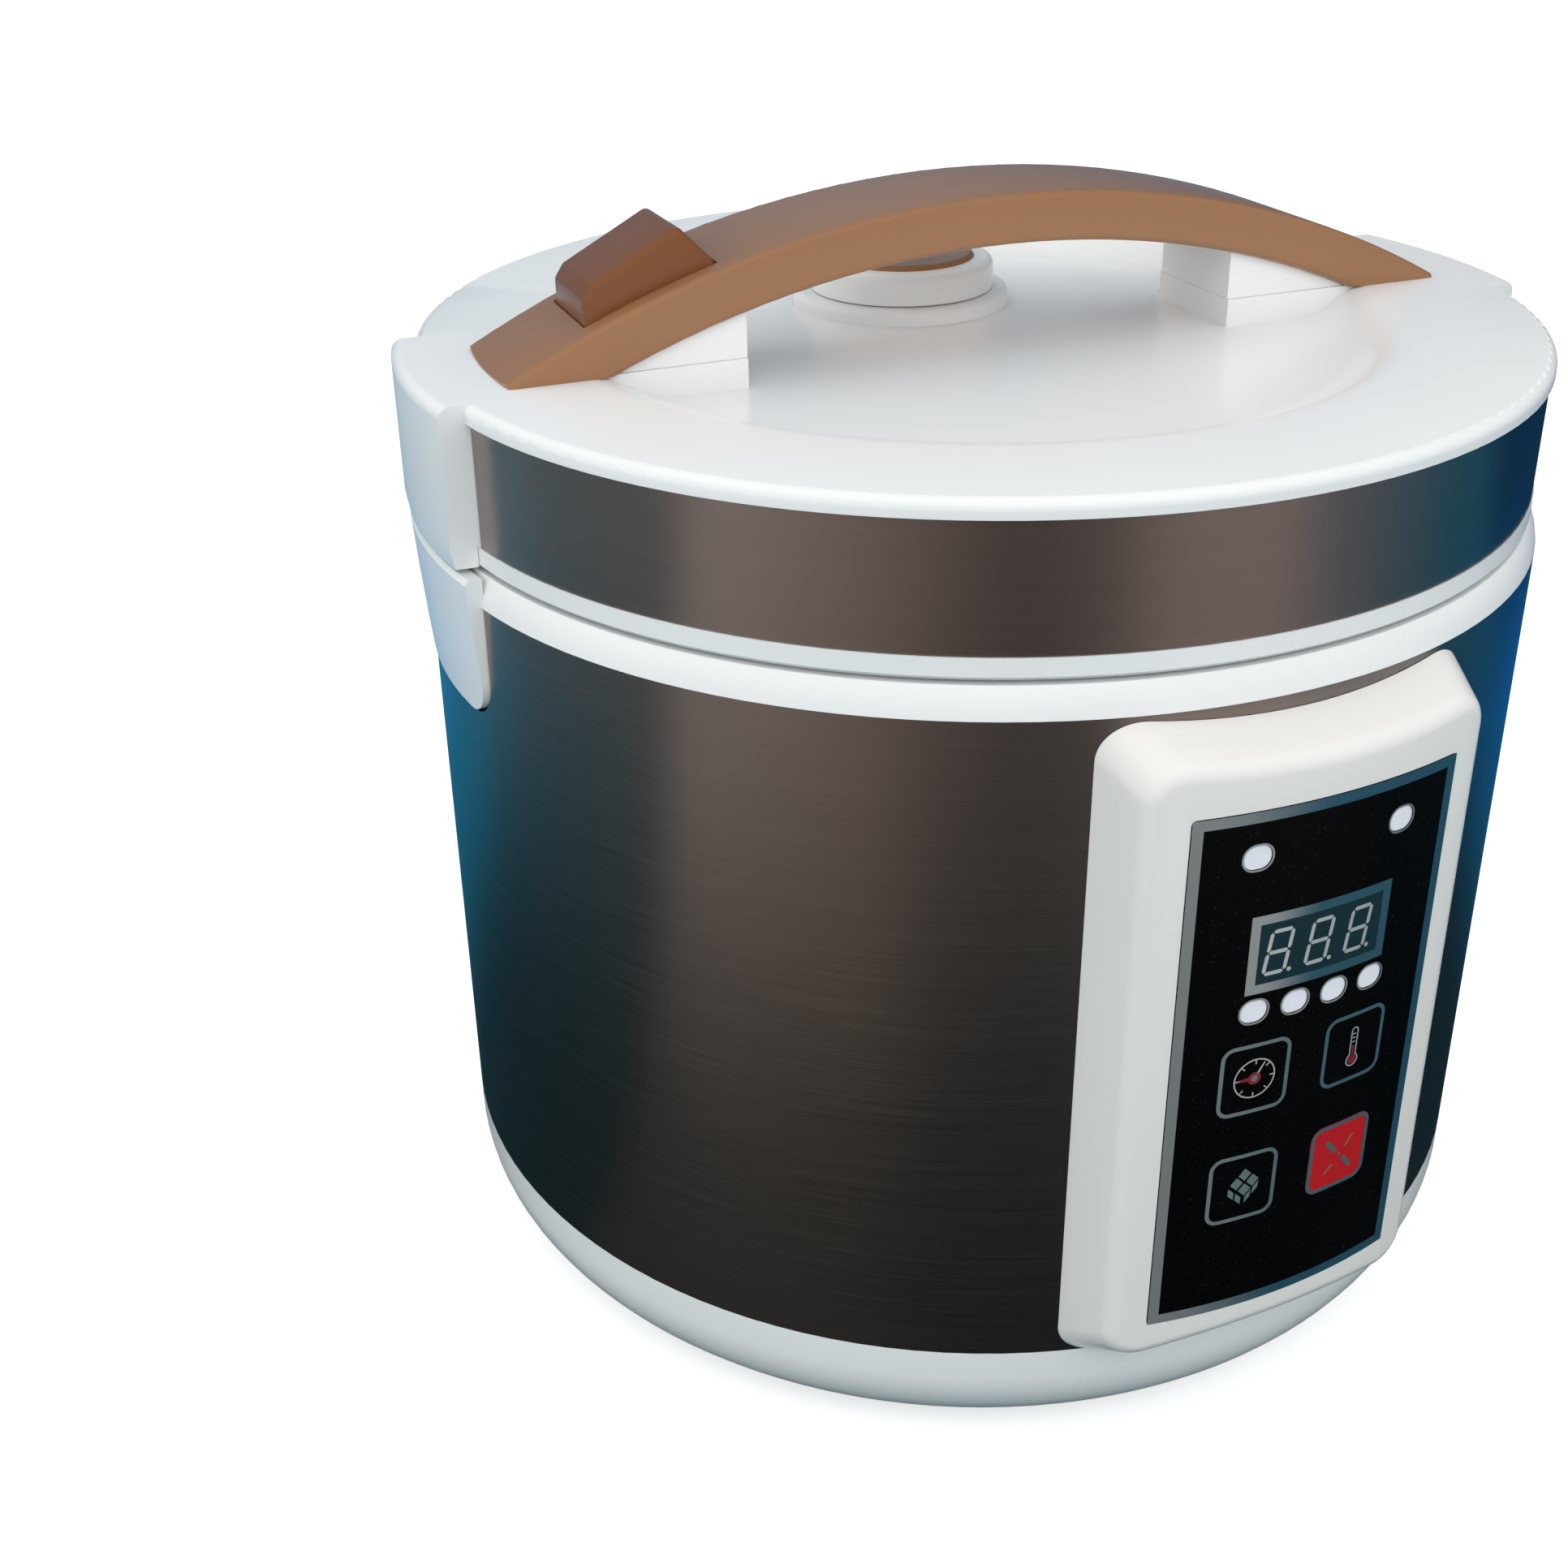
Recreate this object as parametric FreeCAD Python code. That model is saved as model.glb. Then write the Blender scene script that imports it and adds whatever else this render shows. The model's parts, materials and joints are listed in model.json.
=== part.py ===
import FreeCAD, Part
import math
import os
from FreeCAD import Vector

# Yogurt maker: a round counter-top fermentation pot with a hinged lid.
# Millimetres. +Z is up and z = 0 is the surface the feet stand on. The Z axis is the pot's
# centre line. The handle lies along X, with the latch at -X and the hinge at +X, and the
# control panel faces -Y, turned a little towards +X. Radii and places follow BODY_R, and
# heights follow the stack of Z values.

# ---------------------------------------------------------------- clearances
FIT = 0.05            # running clearance round a pin
SEAT = 0.1            # gap between two pieces that are fixed together
PLAY = 0.3            # gap between two pieces that move past each other
SLOT_PLAY = 0.35      # gap round the release button in its slot
KEY_PLAY = 0.15       # gap round a key in the label
OVER = 1.0            # how far a cutting or joining shape reaches past the face it meets
NEAR = 0.01           # how close counts as the same place
ARC_IN = 1 - math.sqrt(0.5)  # how far a quarter round's middle stands in, per radius

# ---------------------------------------------------------------- body, from the bottom up
FOOT_DROP = 2.5       # how far the feet stand out below the base
BASE_H = 27.3         # white base moulding
BODY_BAND_H = 155.5   # stainless band round the body
RIM_H = 6.4           # white rim above the band
SEAM = 0.9            # open line between body and lid
LID_RING_H = 4.7      # white ring under the lid band
LID_BAND_H = 26.9     # stainless band round the lid
LID_EDGE_H = 3.8      # rounded edge of the lid top

Z_BASE = FOOT_DROP
Z_BAND = Z_BASE + BASE_H
Z_RIM = Z_BAND + BODY_BAND_H
Z_SEAM = Z_RIM + RIM_H
Z_LID = Z_SEAM + SEAM
Z_LID_BAND = Z_LID + LID_RING_H
Z_LID_EDGE = Z_LID_BAND + LID_BAND_H
Z_TOP = Z_LID_EDGE + LID_EDGE_H

BODY_R = 130.4        # outside of the body band
SHEET = 0.6           # stainless sheet
WALL = 2.5            # moulded wall
LID_R = BODY_R - 2.4        # outside of the lid band
LID_EDGE_R = LID_R + 0.8    # outside of the lid top
LID_RING_R = LID_R + 0.3    # outside of the lid's lower ring
RIM_TOP_R = BODY_R - 1.8    # outside of the rim at the open line
EDGE_ROUND = 2.4            # rounding of the lid top's edge
OUTSIDE = BODY_R + 20.0     # where cuts from outside the pot start
INSIDE = BODY_R - 20.4      # well inside the bands, where they end
Z_ABOVE = Z_TOP + BODY_R    # far above the handle, where cuts from above start

# base
BASE_FLAT_R = BODY_R - 12.9  # where the rounded bottom corner starts
BASE_MID_R = BODY_R - 3.6    # a point on the rounded corner
BASE_MID_RISE = 8.5
BASE_EDGE_RISE = 20.0        # where the rounded corner meets the upright wall
BASE_FLOOR = 3.5
HATCH_R = BODY_R - 34.7      # bottom cover
HATCH_T = 1.7
HATCH_LEDGE = 10.0           # width of the ledge the bottom cover is screwed to
AIR_SLOT_RINGS = (40.0, 58.0)  # where the bottom cover's air slots begin
AIR_SLOT_L = 12.0
AIR_SLOT_W = 3.0
AIR_SLOT_STEP = 15           # degrees from slot to slot
LIP_H = 9.0                  # lips that stand inside the bands
LIP_T = 2.2
BOSS_R = 5.0

# feet
FOOT_R = 9.0
FOOT_TAPER = 1.0
FOOT_STEM_R = 3.0
FOOT_HEAD_R = 4.2
FOOT_HEAD_H = 1.5
FOOT_CIRCLE_R = BASE_FLAT_R - 10.5
FOOT_ANGLES = (45, 135, 225, 315)

# rim
MOUTH_R = BODY_R - 8.9       # inner wall of the rim
MOUTH_EDGE = 0.5
LEDGE_DROP = 8.7             # from the rim's top to the ledge the pot hangs on
LEDGE_T = 3.0
LEDGE_R = MOUTH_R - 6.9      # inner edge of the ledge
RIM_FLARE = 2.0              # height of the flare above the band
RIM_STEP = 0.4               # how far the flare stands in from the band
RIM_EDGE = 0.6               # rounding at the open line
RIM_HOLE_SKIN = 0.6          # left above the blind screw holes in the ledge

# heating chamber and what it holds
LINER_R = LEDGE_R - 0.4
LINER_T = 0.6
LINER_CORNER = 4.0
LINER_FLANGE_R = MOUTH_R - PLAY
LINER_SCREW_R = LEDGE_R + 3.2
LINER_SCREW_ANGLES = (45, 135, 225, 315)
Z_LINER = Z_BAND + 10.2
POST_CIRCLE_R = LINER_R - 13.2  # posts in the base that carry the heating chamber
POST_ANGLES = (80, 200, 320)
PLATE_R = LINER_R - 26.2     # cast heating plate
PLATE_T = 12.0
PLATE_FOOT_IN = 6.0          # how far its underside, its side and its top stand in
PLATE_SIDE_IN = 1.5
PLATE_SIDE_H = 4.0
PLATE_EDGE = 2.0
PLATE_THREAD = 6.0           # depth of its screw holes
PLATE_STAND = 3.4            # studs under the plate
PLATE_HOLE_R = 17.0
STUD_R = 3.0
STUD_CIRCLE_R = PLATE_R - 18.0
STUD_ANGLES = (60, 180, 300)
ELEMENT_R = PLATE_R - 33.0   # centre line of the tubular element
ELEMENT_WIRE_R = 3.3
TERMINAL_R = 3.0
TERMINAL_GAP = 1.0
TERMINAL_DROP = 7.0
TERMINAL_ANGLE = 20
BELT_T = 1.6                 # heating belt round the chamber
BELT_LOW = 55.0              # above the chamber's floor
BELT_H = 55.0
CLASP_HALF = 6.0
CLASP_T = 3.0
CLASP_GAP = 2.0

# inner pot
POT_R = LINER_R - 2.2
POT_T = 1.6
POT_CORNER_R = 22.0
POT_FLANGE_R = MOUTH_R - 1.2
POT_FLANGE_T = 2.2
POT_FLANGE_EDGE = 0.6
POT_LIP_ROUND = 2.4          # rounding from the flange down into the pot

# temperature sensor under the pot
SENSOR_R = 14.0
SENSOR_EDGE = 1.0
SENSOR_CAP_H = 6.3
SENSOR_CAP_T = 1.5
SENSOR_STEM_R = 4.0
SENSOR_COLLAR_R = 6.0
SENSOR_COLLAR_H = 2.0
SENSOR_TRAVEL = 4.0
SENSOR_SPRING_R = 8.5
SENSOR_SPRING_WIRE_R = 0.5
SENSOR_SPRING_TURNS = 4.5
GUIDE_WALL = 2.0
GUIDE_GAP = 1.0              # round the guide in the chamber's floor
GUIDE_DROP = 8.0
GUIDE_FLANGE_R = 15.0
GUIDE_FLANGE_T = 1.4
FUSE_R = 2.4
FUSE_LENGTH = 16.0
FUSE_X = ELEMENT_R - 7.0
STRAP_T = 0.6
STRAP_HALF_L = 7.0
STRAP_HALF_W = 3.0

# control panel, drawn facing -Y and then turned by PANEL_TURN
PANEL_TURN = 4.2
PANEL_PROUD = 11.6           # how far the panel's front stands out of the band
PANEL_R = BODY_R + PANEL_PROUD
PANEL_BACK_Y = -(BODY_R - 12.4)
PANEL_FRONT_Y = -(PANEL_R + 4.0)
PANEL_BACK_HALF = 44.9
PANEL_FRONT_HALF = 36.95
PANEL_BACK_LOW = Z_BAND - 4.8
PANEL_FRONT_LOW = Z_BAND + 12.1
PANEL_BACK_HIGH = Z_RIM + 2.2
PANEL_FRONT_HIGH = Z_RIM - 9.5
PANEL_CORNER = 9.0
PANEL_EDGE = 4.5
LABEL_HALF = 31.5
LABEL_LOW = PANEL_FRONT_LOW + 3.5
LABEL_HIGH = PANEL_FRONT_HIGH - 7.5
LABEL_T = 0.6
LABEL_CORNER = 1.2
DISPLAY_HALF = 17.0
DISPLAY_H = 18.1
DISPLAY_LOW = LABEL_HIGH - 41.6
DISPLAY_HIGH = DISPLAY_LOW + DISPLAY_H
DISPLAY_CORNER = 1.0
DISPLAY_DEPTH = 6.5
DISPLAY_INSET = 0.6          # the module is smaller than its window all round
LIGHT_W = 6.2                # indicator lights: wide ovals
LIGHT_H = 5.3
LIGHT_CORNER = 2.5
LIGHT_TOP_X = 17.2
LIGHT_TOP_Z = LABEL_HIGH - 10.1
LIGHT_ROW_PITCH = 9.6
LIGHT_ROW_Z = DISPLAY_LOW - 4.2
KEY_W = 16.4
KEY_H = 17.4
KEY_T = 1.2
KEY_CORNER = 3.0
KEY_X = 12.5
KEY_DROP = 16.6              # from the row of lights to the upper keys
KEY_PITCH = 27.8             # from row to row
KEY_ROWS = (LIGHT_ROW_Z - KEY_DROP, LIGHT_ROW_Z - KEY_DROP - KEY_PITCH)
KEYS = {"key_time": (-1, 0), "key_temperature": (1, 0), "key_function": (-1, 1), "key_enter": (1, 1)}
KEY_TRAVEL = 0.4
SWITCH_W = 6.0
SWITCH_H = 4.0
SWITCH_BUTTON_R = 1.7
WINDOW_HALF = 27.0           # opening in the panel housing behind the label
WINDOW_LOW = KEY_ROWS[1] - 16.1
WINDOW_HIGH = LABEL_HIGH - 4.3
WINDOW_CORNER = 3.0
BOARD_T = 1.6
BOARD_HALF = 29.0
BOARD_LOW = WINDOW_LOW - 4.0
BOARD_HIGH = WINDOW_HIGH + 4.0
BOARD_GAP = 7.0              # from the inside of the panel's front to the board
CHIP_HALF = 6.0
CHIP_T = 1.2
CHIP_LOW = 34.0              # above the board's lower edge
PLUG_HALF = 8.0
PLUG_H = 4.0
PLUG_T = 2.0
CABLE_HALF = 6.0
CABLE_T = 0.8
CABLE_IN = 6.0               # how far inside the band the cable drops
CABLE_LIFT = 3.0             # above the power board
CABLE_LAP = 2.0
PANEL_OPEN_INSET = 2.0       # the band's opening is smaller than the board all round
PANEL_OPEN_CORNER = 4.0
PANEL_SCREW_X = 34.5
PANEL_SCREW_Z = (PANEL_FRONT_LOW + 10.1, PANEL_FRONT_HIGH - 7.8)
PANEL_BOSS_R = 3.6
PANEL_BOSS_START = 5.5       # behind the panel's front

# power side
BOARD2_X = (-(POST_CIRCLE_R - 21.0), 8.0)
BOARD2_HALF_Y = 34.0
BOARD2_Z = Z_BASE + 10.5
STAND_R = 3.0                # stands under the power board
STAND_INSET = 6.0
TRANSFORMER = (8.0, 34.0, -26.0, -2.0, 19.0)  # from the board's left edge, then Y and height
TRANSFORMER_CORE = (12.0, 30.0, -30.0, 2.0, 15.0)
RELAY = (-22.0, -4.0, 10.0, 25.0, 15.0)       # from its right edge
TERMINALS_Y = (-31.0, -23.0, -15.0)
TERMINAL_BLOCK = (-10.0, -4.0, 6.0, 9.0)      # from its right edge, then width and height
CAPACITORS_X = (14.0, 26.0, 38.0)
CAPACITOR_Y = 20.0
CAPACITOR_R = 4.5
CAPACITOR_H = 15.0
INLET_Z = Z_BAND + 22.2
INLET_PROUD_Y = BODY_R + 10.1
INLET_HALF_W = 23.0
INLET_HALF_H = 17.0
INLET_CORNER = 4.0
INLET_SCREW_X = 18.8
INLET_HOLE_Y = INLET_PROUD_Y - 5.5            # end of its blind screw holes
SOCKET_HALF_W = 15.0
SOCKET_HALF_H = 11.0
SOCKET_WALL = 2.7
SOCKET_DEPTH = 15.0
SOCKET_FRONT_Y = INLET_PROUD_Y - 1.0
SOCKET_BACK_Y = BODY_R - 10.4
PIN_LENGTH = 11.0
PIN_TAIL = 4.0               # behind the socket
PIN_HALF_W = 1.0
PIN_HALF_H = 2.0
PIN_PLACES = ((-7.0, 2.0), (0.0, -2.0), (7.0, 2.0))

# lid top
DISH_R = LID_R - 29.0        # edge of the dish in the lid top
DISH_RUN = 18.0              # width of its sloping wall
DISH_DEPTH = 6.5
ISLAND_HALF = 15.5           # raised lands in the dish that carry the handle's posts
ISLAND_LAP = 2.0
LID_WALL_R = LID_R - SHEET - 0.2  # wall of the lower ring, inside the band
LID_WALL_T = 2.0
LID_RING_EDGE = 0.8
LID_RING_FLOOR = 2.4
LID_RING_IN_R = LID_R - 23.0
LID_SCREW_R = LID_WALL_R - 4.9
LID_SCREW_ANGLES = (35, 145, 215, 325)
LID_BOSS_R = 2.8
LID_SCREW_SINK = 1.0

# latch and hinge blocks
BLOCK_PROUD = 3.6
BLOCK_R = BODY_R + BLOCK_PROUD
BLOCK_ROUND = 2.6
BLOCK_HALF = 28.0
BLOCK_CORNER = 3.0
BLOCK_ROOM_CORNER = 1.0
BLOCK_FLARE = 4.0            # height of the block's flared foot
BLOCK_LAP = 6.0              # how far the block laps the lid top beyond the dish
TONGUE_HALF = 32.0
TONGUE_R = BLOCK_R - 0.7     # the body's tongue at the open line
TONGUE_EDGE = 0.8
TONGUE_EDGE_H = 1.2
TONGUE_MID_R = BODY_R + 2.1
TONGUE_MID_DROP = 14.0
TONGUE_END_R = BODY_R + 0.5
TONGUE_END_DROP = 33.0
TONGUE_CORNER = 9.0
TONGUE_WALL = 1.9
LATCH_TURN = 1.8             # the latch block sits this far round from the handle's line
NOTCH_GAP = 1.0              # open line between the tongue and the band's end

# hinge
HINGE_X = BODY_R - 1.9
HINGE_DROP = 5.7             # pin centre below the rim's top
HINGE_PIN_R = 2.5
HINGE_PIN_HALF = 26.0
HINGE_PIN_EDGE = 0.5
KNUCKLE_R = 4.8
KNUCKLE_Y = (12.0, 20.0)
KNUCKLE_NECK = 1.0           # how far the neck stands out past the pin's centre
KNUCKLE_FOOT = 7.5           # how far the foot runs in from it
BARREL_R = 6.2
BARREL_RELIEF = 14.0         # size of the corner rounded away about the pin
EAR_WALL = 2.0
EAR_INSET = 3.0

# handle
HANDLE_HALF = LID_R - 11.0   # where the handle's top meets the lid
HANDLE_RISE = 29.8
HANDLE_T = 11.1
HANDLE_W = 35.0
HANDLE_END_R = HANDLE_HALF - 0.5  # plan radius of the handle's blunt ends
HANDLE_ROUND = 1.6
POST_OUT = DISH_R - 6.0
POST_IN_LATCH = POST_OUT - 31.5
POST_IN_HINGE = POST_OUT - 34.0
POST_HALF = 15.0
HANDLE_SCREW_X = (-(HANDLE_END_R - 15.5), POST_OUT - 23.0, HANDLE_END_R - 15.5)
HANDLE_HOLE = 5.2            # depth of the screw holes in the handle and its posts

# release button on the handle, at the latch end
BUTTON_OUT = POST_OUT + 3.6
BUTTON_IN = BUTTON_OUT - 29.6
BUTTON_HALF = 12.0
BUTTON_TRAVEL = 4.0
BUTTON_STOP = 1.0            # left under the button when it is pressed
BUTTON_NOSE_IN = 2.0         # the outer end's bevel
BUTTON_NOSE_DROP = 3.0
BUTTON_END_TOP = 18.3        # top of its outer end above the lid top
BUTTON_CREST_X = BUTTON_IN + 8.0
BUTTON_CREST = 28.7          # crest above the lid top
BUTTON_HEEL = 20.6           # inner end above the lid top
BUTTON_ROUND = 1.8
ROD_X = BUTTON_OUT - 10.6
ROD_R = 2.8
ROD_COLLAR_R = 5.0
ROD_COLLAR_T = 1.5
SPRING_R = 4.7
SPRING_WIRE_R = 0.45
SPRING_TURNS = 6
SPRING_POCKET_R = 6.0
SPRING_POCKET_DEPTH = 9.0

# latch
PIVOT_X = LID_R - 4.0
PIVOT_Z = Z_LID + 16.9
PIVOT_PIN_R = 2.0
PIVOT_HUB_R = 5.0
PIVOT_PIN_HALF = 12.6
LEVER_HALF = 6.5
LEVER_T = 4.0
LEVER_ROOM = 2.0             # beyond the hub
LEVER_TIP_X = ROD_X - 4.0
HOOK_T = 2.4
HOOK_OUT_X = PIVOT_X + 3.6
HOOK_NOSE_X = PIVOT_X - 0.7
HOOK_NOSE_H = 3.0
HOOK_NOSE_EASE = 1.0         # bevel that lets the nose ride over the keeper
HOOK_NOSE_Z = Z_SEAM - 10.7
HOOK_END_Z = HOOK_NOSE_Z - 1.2
KEEPER_T = 1.9
KEEPER_H = 6.0
POCKET_IN_X = MOUTH_R + 1.5
POCKET_HALF = 10.0
POCKET_DEPTH = 13.2          # below the rim's top
BRACKET_T = 2.5
BRACKET_OUT = 2.4            # beyond the pin's centre
BRACKET_IN = 7.0
LATCH_SPRING_X = PIVOT_X - 20.0
LATCH_SPRING_R = 3.0
LATCH_SPRING_WIRE_R = 0.4

# steam vent
VENT_Y = DISH_R - DISH_RUN - 40.0
VENT_SEAT_R = 27.0
VENT_SEAT_H = 3.5
VENT_SEAT_EDGE = 1.6
VENT_TUBE_R = 12.0
VENT_TUBE_WALL = 2.0
VENT_TUBE_LOW = 3.5          # end of the tube above the lid's underside
VENT_CAP_R = 22.75
VENT_CAP_H = 7.2
VENT_CAP_EDGE = 2.0
VENT_CAP_WALL = 2.0
VENT_PLUG_WALL = 2.0
VENT_PLUG_DROP = 10.0
VENT_SLOTS = 6               # in the plug
VENT_SLOT_HALF = 2.5
VENT_SLOT_MARGIN = 0.5
VENT_GAP_ANGLES = (30, 70, 110, 150)  # notches under the cap's edge, away from the handle
VENT_GAP_HALF = 4.0
VENT_GAP_H = 1.2
VENT_DISC_R = 18.0
VENT_DISC_T = 1.2
VENT_DISC_EDGE = 0.8
VENT_DISC_RIM = 4.0          # width of the disc's raised rim
VENT_DISC_SLOPE = 1.0
VENT_DISC_SINK = 0.6
GASKET_OUT = 1.5             # how far the sleeve stands out and in from the tube
GASKET_IN = 2.0

# inside of the lid
COVER_R = LID_RING_IN_R + 7.0
COVER_T = 1.0
COVER_EDGE = 0.5
COVER_DROP = 1.4             # from the lid ring's underside to the cover
COVER_LIP = 0.9
COVER_SCREW_R = LID_RING_IN_R + 3.0
COVER_SCREW_ANGLES = (45, 135, 225, 315)
SPACER_R = 2.5
SPACER_RISE = 3.0            # above the lid ring's floor
SPACER_SKIN = 1.0            # left above the blind hole
STEAM_HOLE_R = 2.2
STEAM_CIRCLE_R = 5.5
STEAM_HOLES = 6
SEAL_R = MOUTH_R - 2.2
SEAL_EDGE = 1.0
SEAL_DROP = 3.1
SEAL_RIB = 1.4
SEAL_RIB_HALF = 1.4
SEAL_RIB_R = SEAL_R - 3.8

# screws
SCREW_R = 1.5
SCREW_HEAD_R = 2.7
SCREW_HEAD_H = 1.6
SCREW_CROSS = 1.6            # half length and half width of the cross in the head
SCREW_CROSS_HALF = 0.4
HATCH_SCREW_L = 5.5
LONG_SCREW_UP = 3.0          # how far the long screws reach above the chamber's floor
PLATE_SCREW_L = 8.0
RIM_SCREW_L = 2.6
LID_SCREW_L = 10.0
COVER_SCREW_L = 5.0
HANDLE_SCREW_L = 7.5
PANEL_SCREW_L = 8.0
INLET_SCREW_L = 7.0


# ---------------------------------------------------------------- worked-out places
LIP_R = BODY_R - SHEET - SEAT       # outside of the lips that stand inside the body band
LEDGE_Z = Z_SEAM - LEDGE_DROP       # the ledge the pot hangs on
POT_TOP = LEDGE_Z + PLAY + POT_FLANGE_T
Z_PLATE = Z_LINER + LINER_T + PLATE_STAND
POT_LOW = Z_PLATE + PLATE_T + PLAY
GUIDE_LOW = Z_LINER - GUIDE_DROP
HINGE_Z = Z_SEAM - HINGE_DROP
TONGUE_END_Z = Z_SEAM - TONGUE_END_DROP
BUTTON_LOW = BUTTON_TRAVEL + BUTTON_STOP  # underside above the lid top
HATCH_TOP = Z_BASE + HATCH_T
HATCH_LEDGE_TOP = HATCH_TOP + SEAT + BASE_FLOOR
HATCH_SCREW_R = HATCH_R - HATCH_LEDGE / 2
POST_TOP = Z_LINER - SEAT
BOARD_Y = -(PANEL_R - WALL - BOARD_GAP)
LID_WALL_IN_R = LID_WALL_R - LID_WALL_T
VENT_SEAT_Z = Z_TOP - DISH_DEPTH    # underside of the vent's seat
VENT_CAP_Z = VENT_SEAT_Z + VENT_SEAT_H + PLAY
SPRING_TOP = Z_TOP + BUTTON_LOW + SPRING_POCKET_DEPTH - SEAT


# ---------------------------------------------------------------- shape helpers
def box(x0, x1, y0, y1, z0, z1):
    """A box between two corners, given in any order."""
    low = Vector(min(x0, x1), min(y0, y1), min(z0, z1))
    return Part.makeBox(abs(x1 - x0), abs(y1 - y0), abs(z1 - z0), low)


def disc(radius, z0, z1, x=0.0, y=0.0):
    """An upright cylinder."""
    return Part.makeCylinder(radius, z1 - z0, Vector(x, y, z0))


def tube(outer, inner, z0, z1, x=0.0, y=0.0):
    """An upright tube."""
    return disc(outer, z0, z1, x, y).cut(disc(inner, z0, z1, x, y))


def rod_y(radius, x, z, y0, y1):
    """A cylinder along Y."""
    return Part.makeCylinder(radius, y1 - y0, Vector(x, y0, z), Vector(0, 1, 0))


def fused(*shapes):
    """One solid made of several that meet."""
    return shapes[0].multiFuse(list(shapes[1:])).removeSplitter()


def polar(radius, degrees):
    """The X and Y of a point on a circle, counted from +X."""
    angle = math.radians(degrees)
    return radius * math.cos(angle), radius * math.sin(angle)


def outline(points):
    """A closed wire in the XZ plane. A point is (x, z), or (mid x, mid z, x, z) for an arc."""
    here = Vector(points[0][0], 0, points[0][1])
    edges = []
    for point in list(points[1:]) + [points[0][:2]]:
        there = Vector(point[-2], 0, point[-1])
        if len(point) == 4:
            middle = Vector(point[0], 0, point[1])
            edges.append(Part.Arc(here, middle, there).toShape())
        elif here.distanceToPoint(there) > 1e-6:
            edges.append(Part.makeLine(here, there))
        here = there
    return Part.Wire(edges)


def turned(points):
    """A ring or disc turned about the Z axis from its section."""
    face = Part.Face(outline(points))
    return face.revolve(Vector(0, 0, 0), Vector(0, 0, 1), 360)


def slab_y(points, y0, y1):
    """A section in the XZ plane, pushed along Y."""
    face = Part.Face(outline(points))
    face.translate(Vector(0, y0, 0))
    return face.extrude(Vector(0, y1 - y0, 0))


def rounded_front(half, z0, z1, corner, y):
    """A rectangle with round corners, facing -Y."""
    flat = corner * ARC_IN
    wire = outline([
        (-half + corner, z0), (half - corner, z0),
        (half - flat, z0 + flat, half, z0 + corner), (half, z1 - corner),
        (half - flat, z1 - flat, half - corner, z1), (-half + corner, z1),
        (-half + flat, z1 - flat, -half, z1 - corner), (-half, z0 + corner),
        (-half + flat, z0 + flat, -half + corner, z0),
    ])
    wire.translate(Vector(0, y, 0))
    return wire


def front_block(half, z0, z1, corner, y0, y1):
    """A block with round corners as seen from the front."""
    return Part.Face(rounded_front(half, z0, z1, corner, y0)).extrude(Vector(0, y1 - y0, 0))


def spun(shape, degrees):
    """A copy turned about the Z axis."""
    copy = shape.copy()
    copy.rotate(Vector(0, 0, 0), Vector(0, 0, 1), degrees)
    return copy


def moved(shape, x=0.0, y=0.0, z=0.0):
    """A copy moved."""
    copy = shape.copy()
    copy.translate(Vector(x, y, z))
    return copy


def coil(radius, wire, z0, z1, turns, x=0.0, y=0.0):
    """A compression spring whose wire stays between z0 and z1."""
    rise = z1 - z0 - 2 * wire
    spine = Part.makeHelix(rise / turns, rise, radius)
    start = Part.Wire(Part.makeCircle(wire, Vector(radius, 0, 0), Vector(0, 1, 0)))
    spring = Part.Wire(spine.Edges).makePipeShell([start], True, True)
    return moved(spring, x, y, z0 + wire)


def screw(length):
    """A pan-head screw along +Z: its head's underside is at z = 0 and the thread runs up."""
    body = disc(SCREW_R - FIT, 0, length)
    head = disc(SCREW_HEAD_R, -SCREW_HEAD_H, 0)
    cross = box(-SCREW_CROSS, SCREW_CROSS, -SCREW_CROSS_HALF, SCREW_CROSS_HALF,
                -SCREW_HEAD_H, -SCREW_HEAD_H / 2)
    return fused(body, head).cut([cross, spun(cross, 90)])


def group(shapes):
    """Separate solids that share one node."""
    return Part.makeCompound(shapes)


def rounded_edges(shape, radius, wanted):
    """The shape with every edge that the test picks rounded."""
    edges = [edge for edge in shape.Edges if wanted(edge)]
    return shape.makeFillet(radius, edges)


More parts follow.
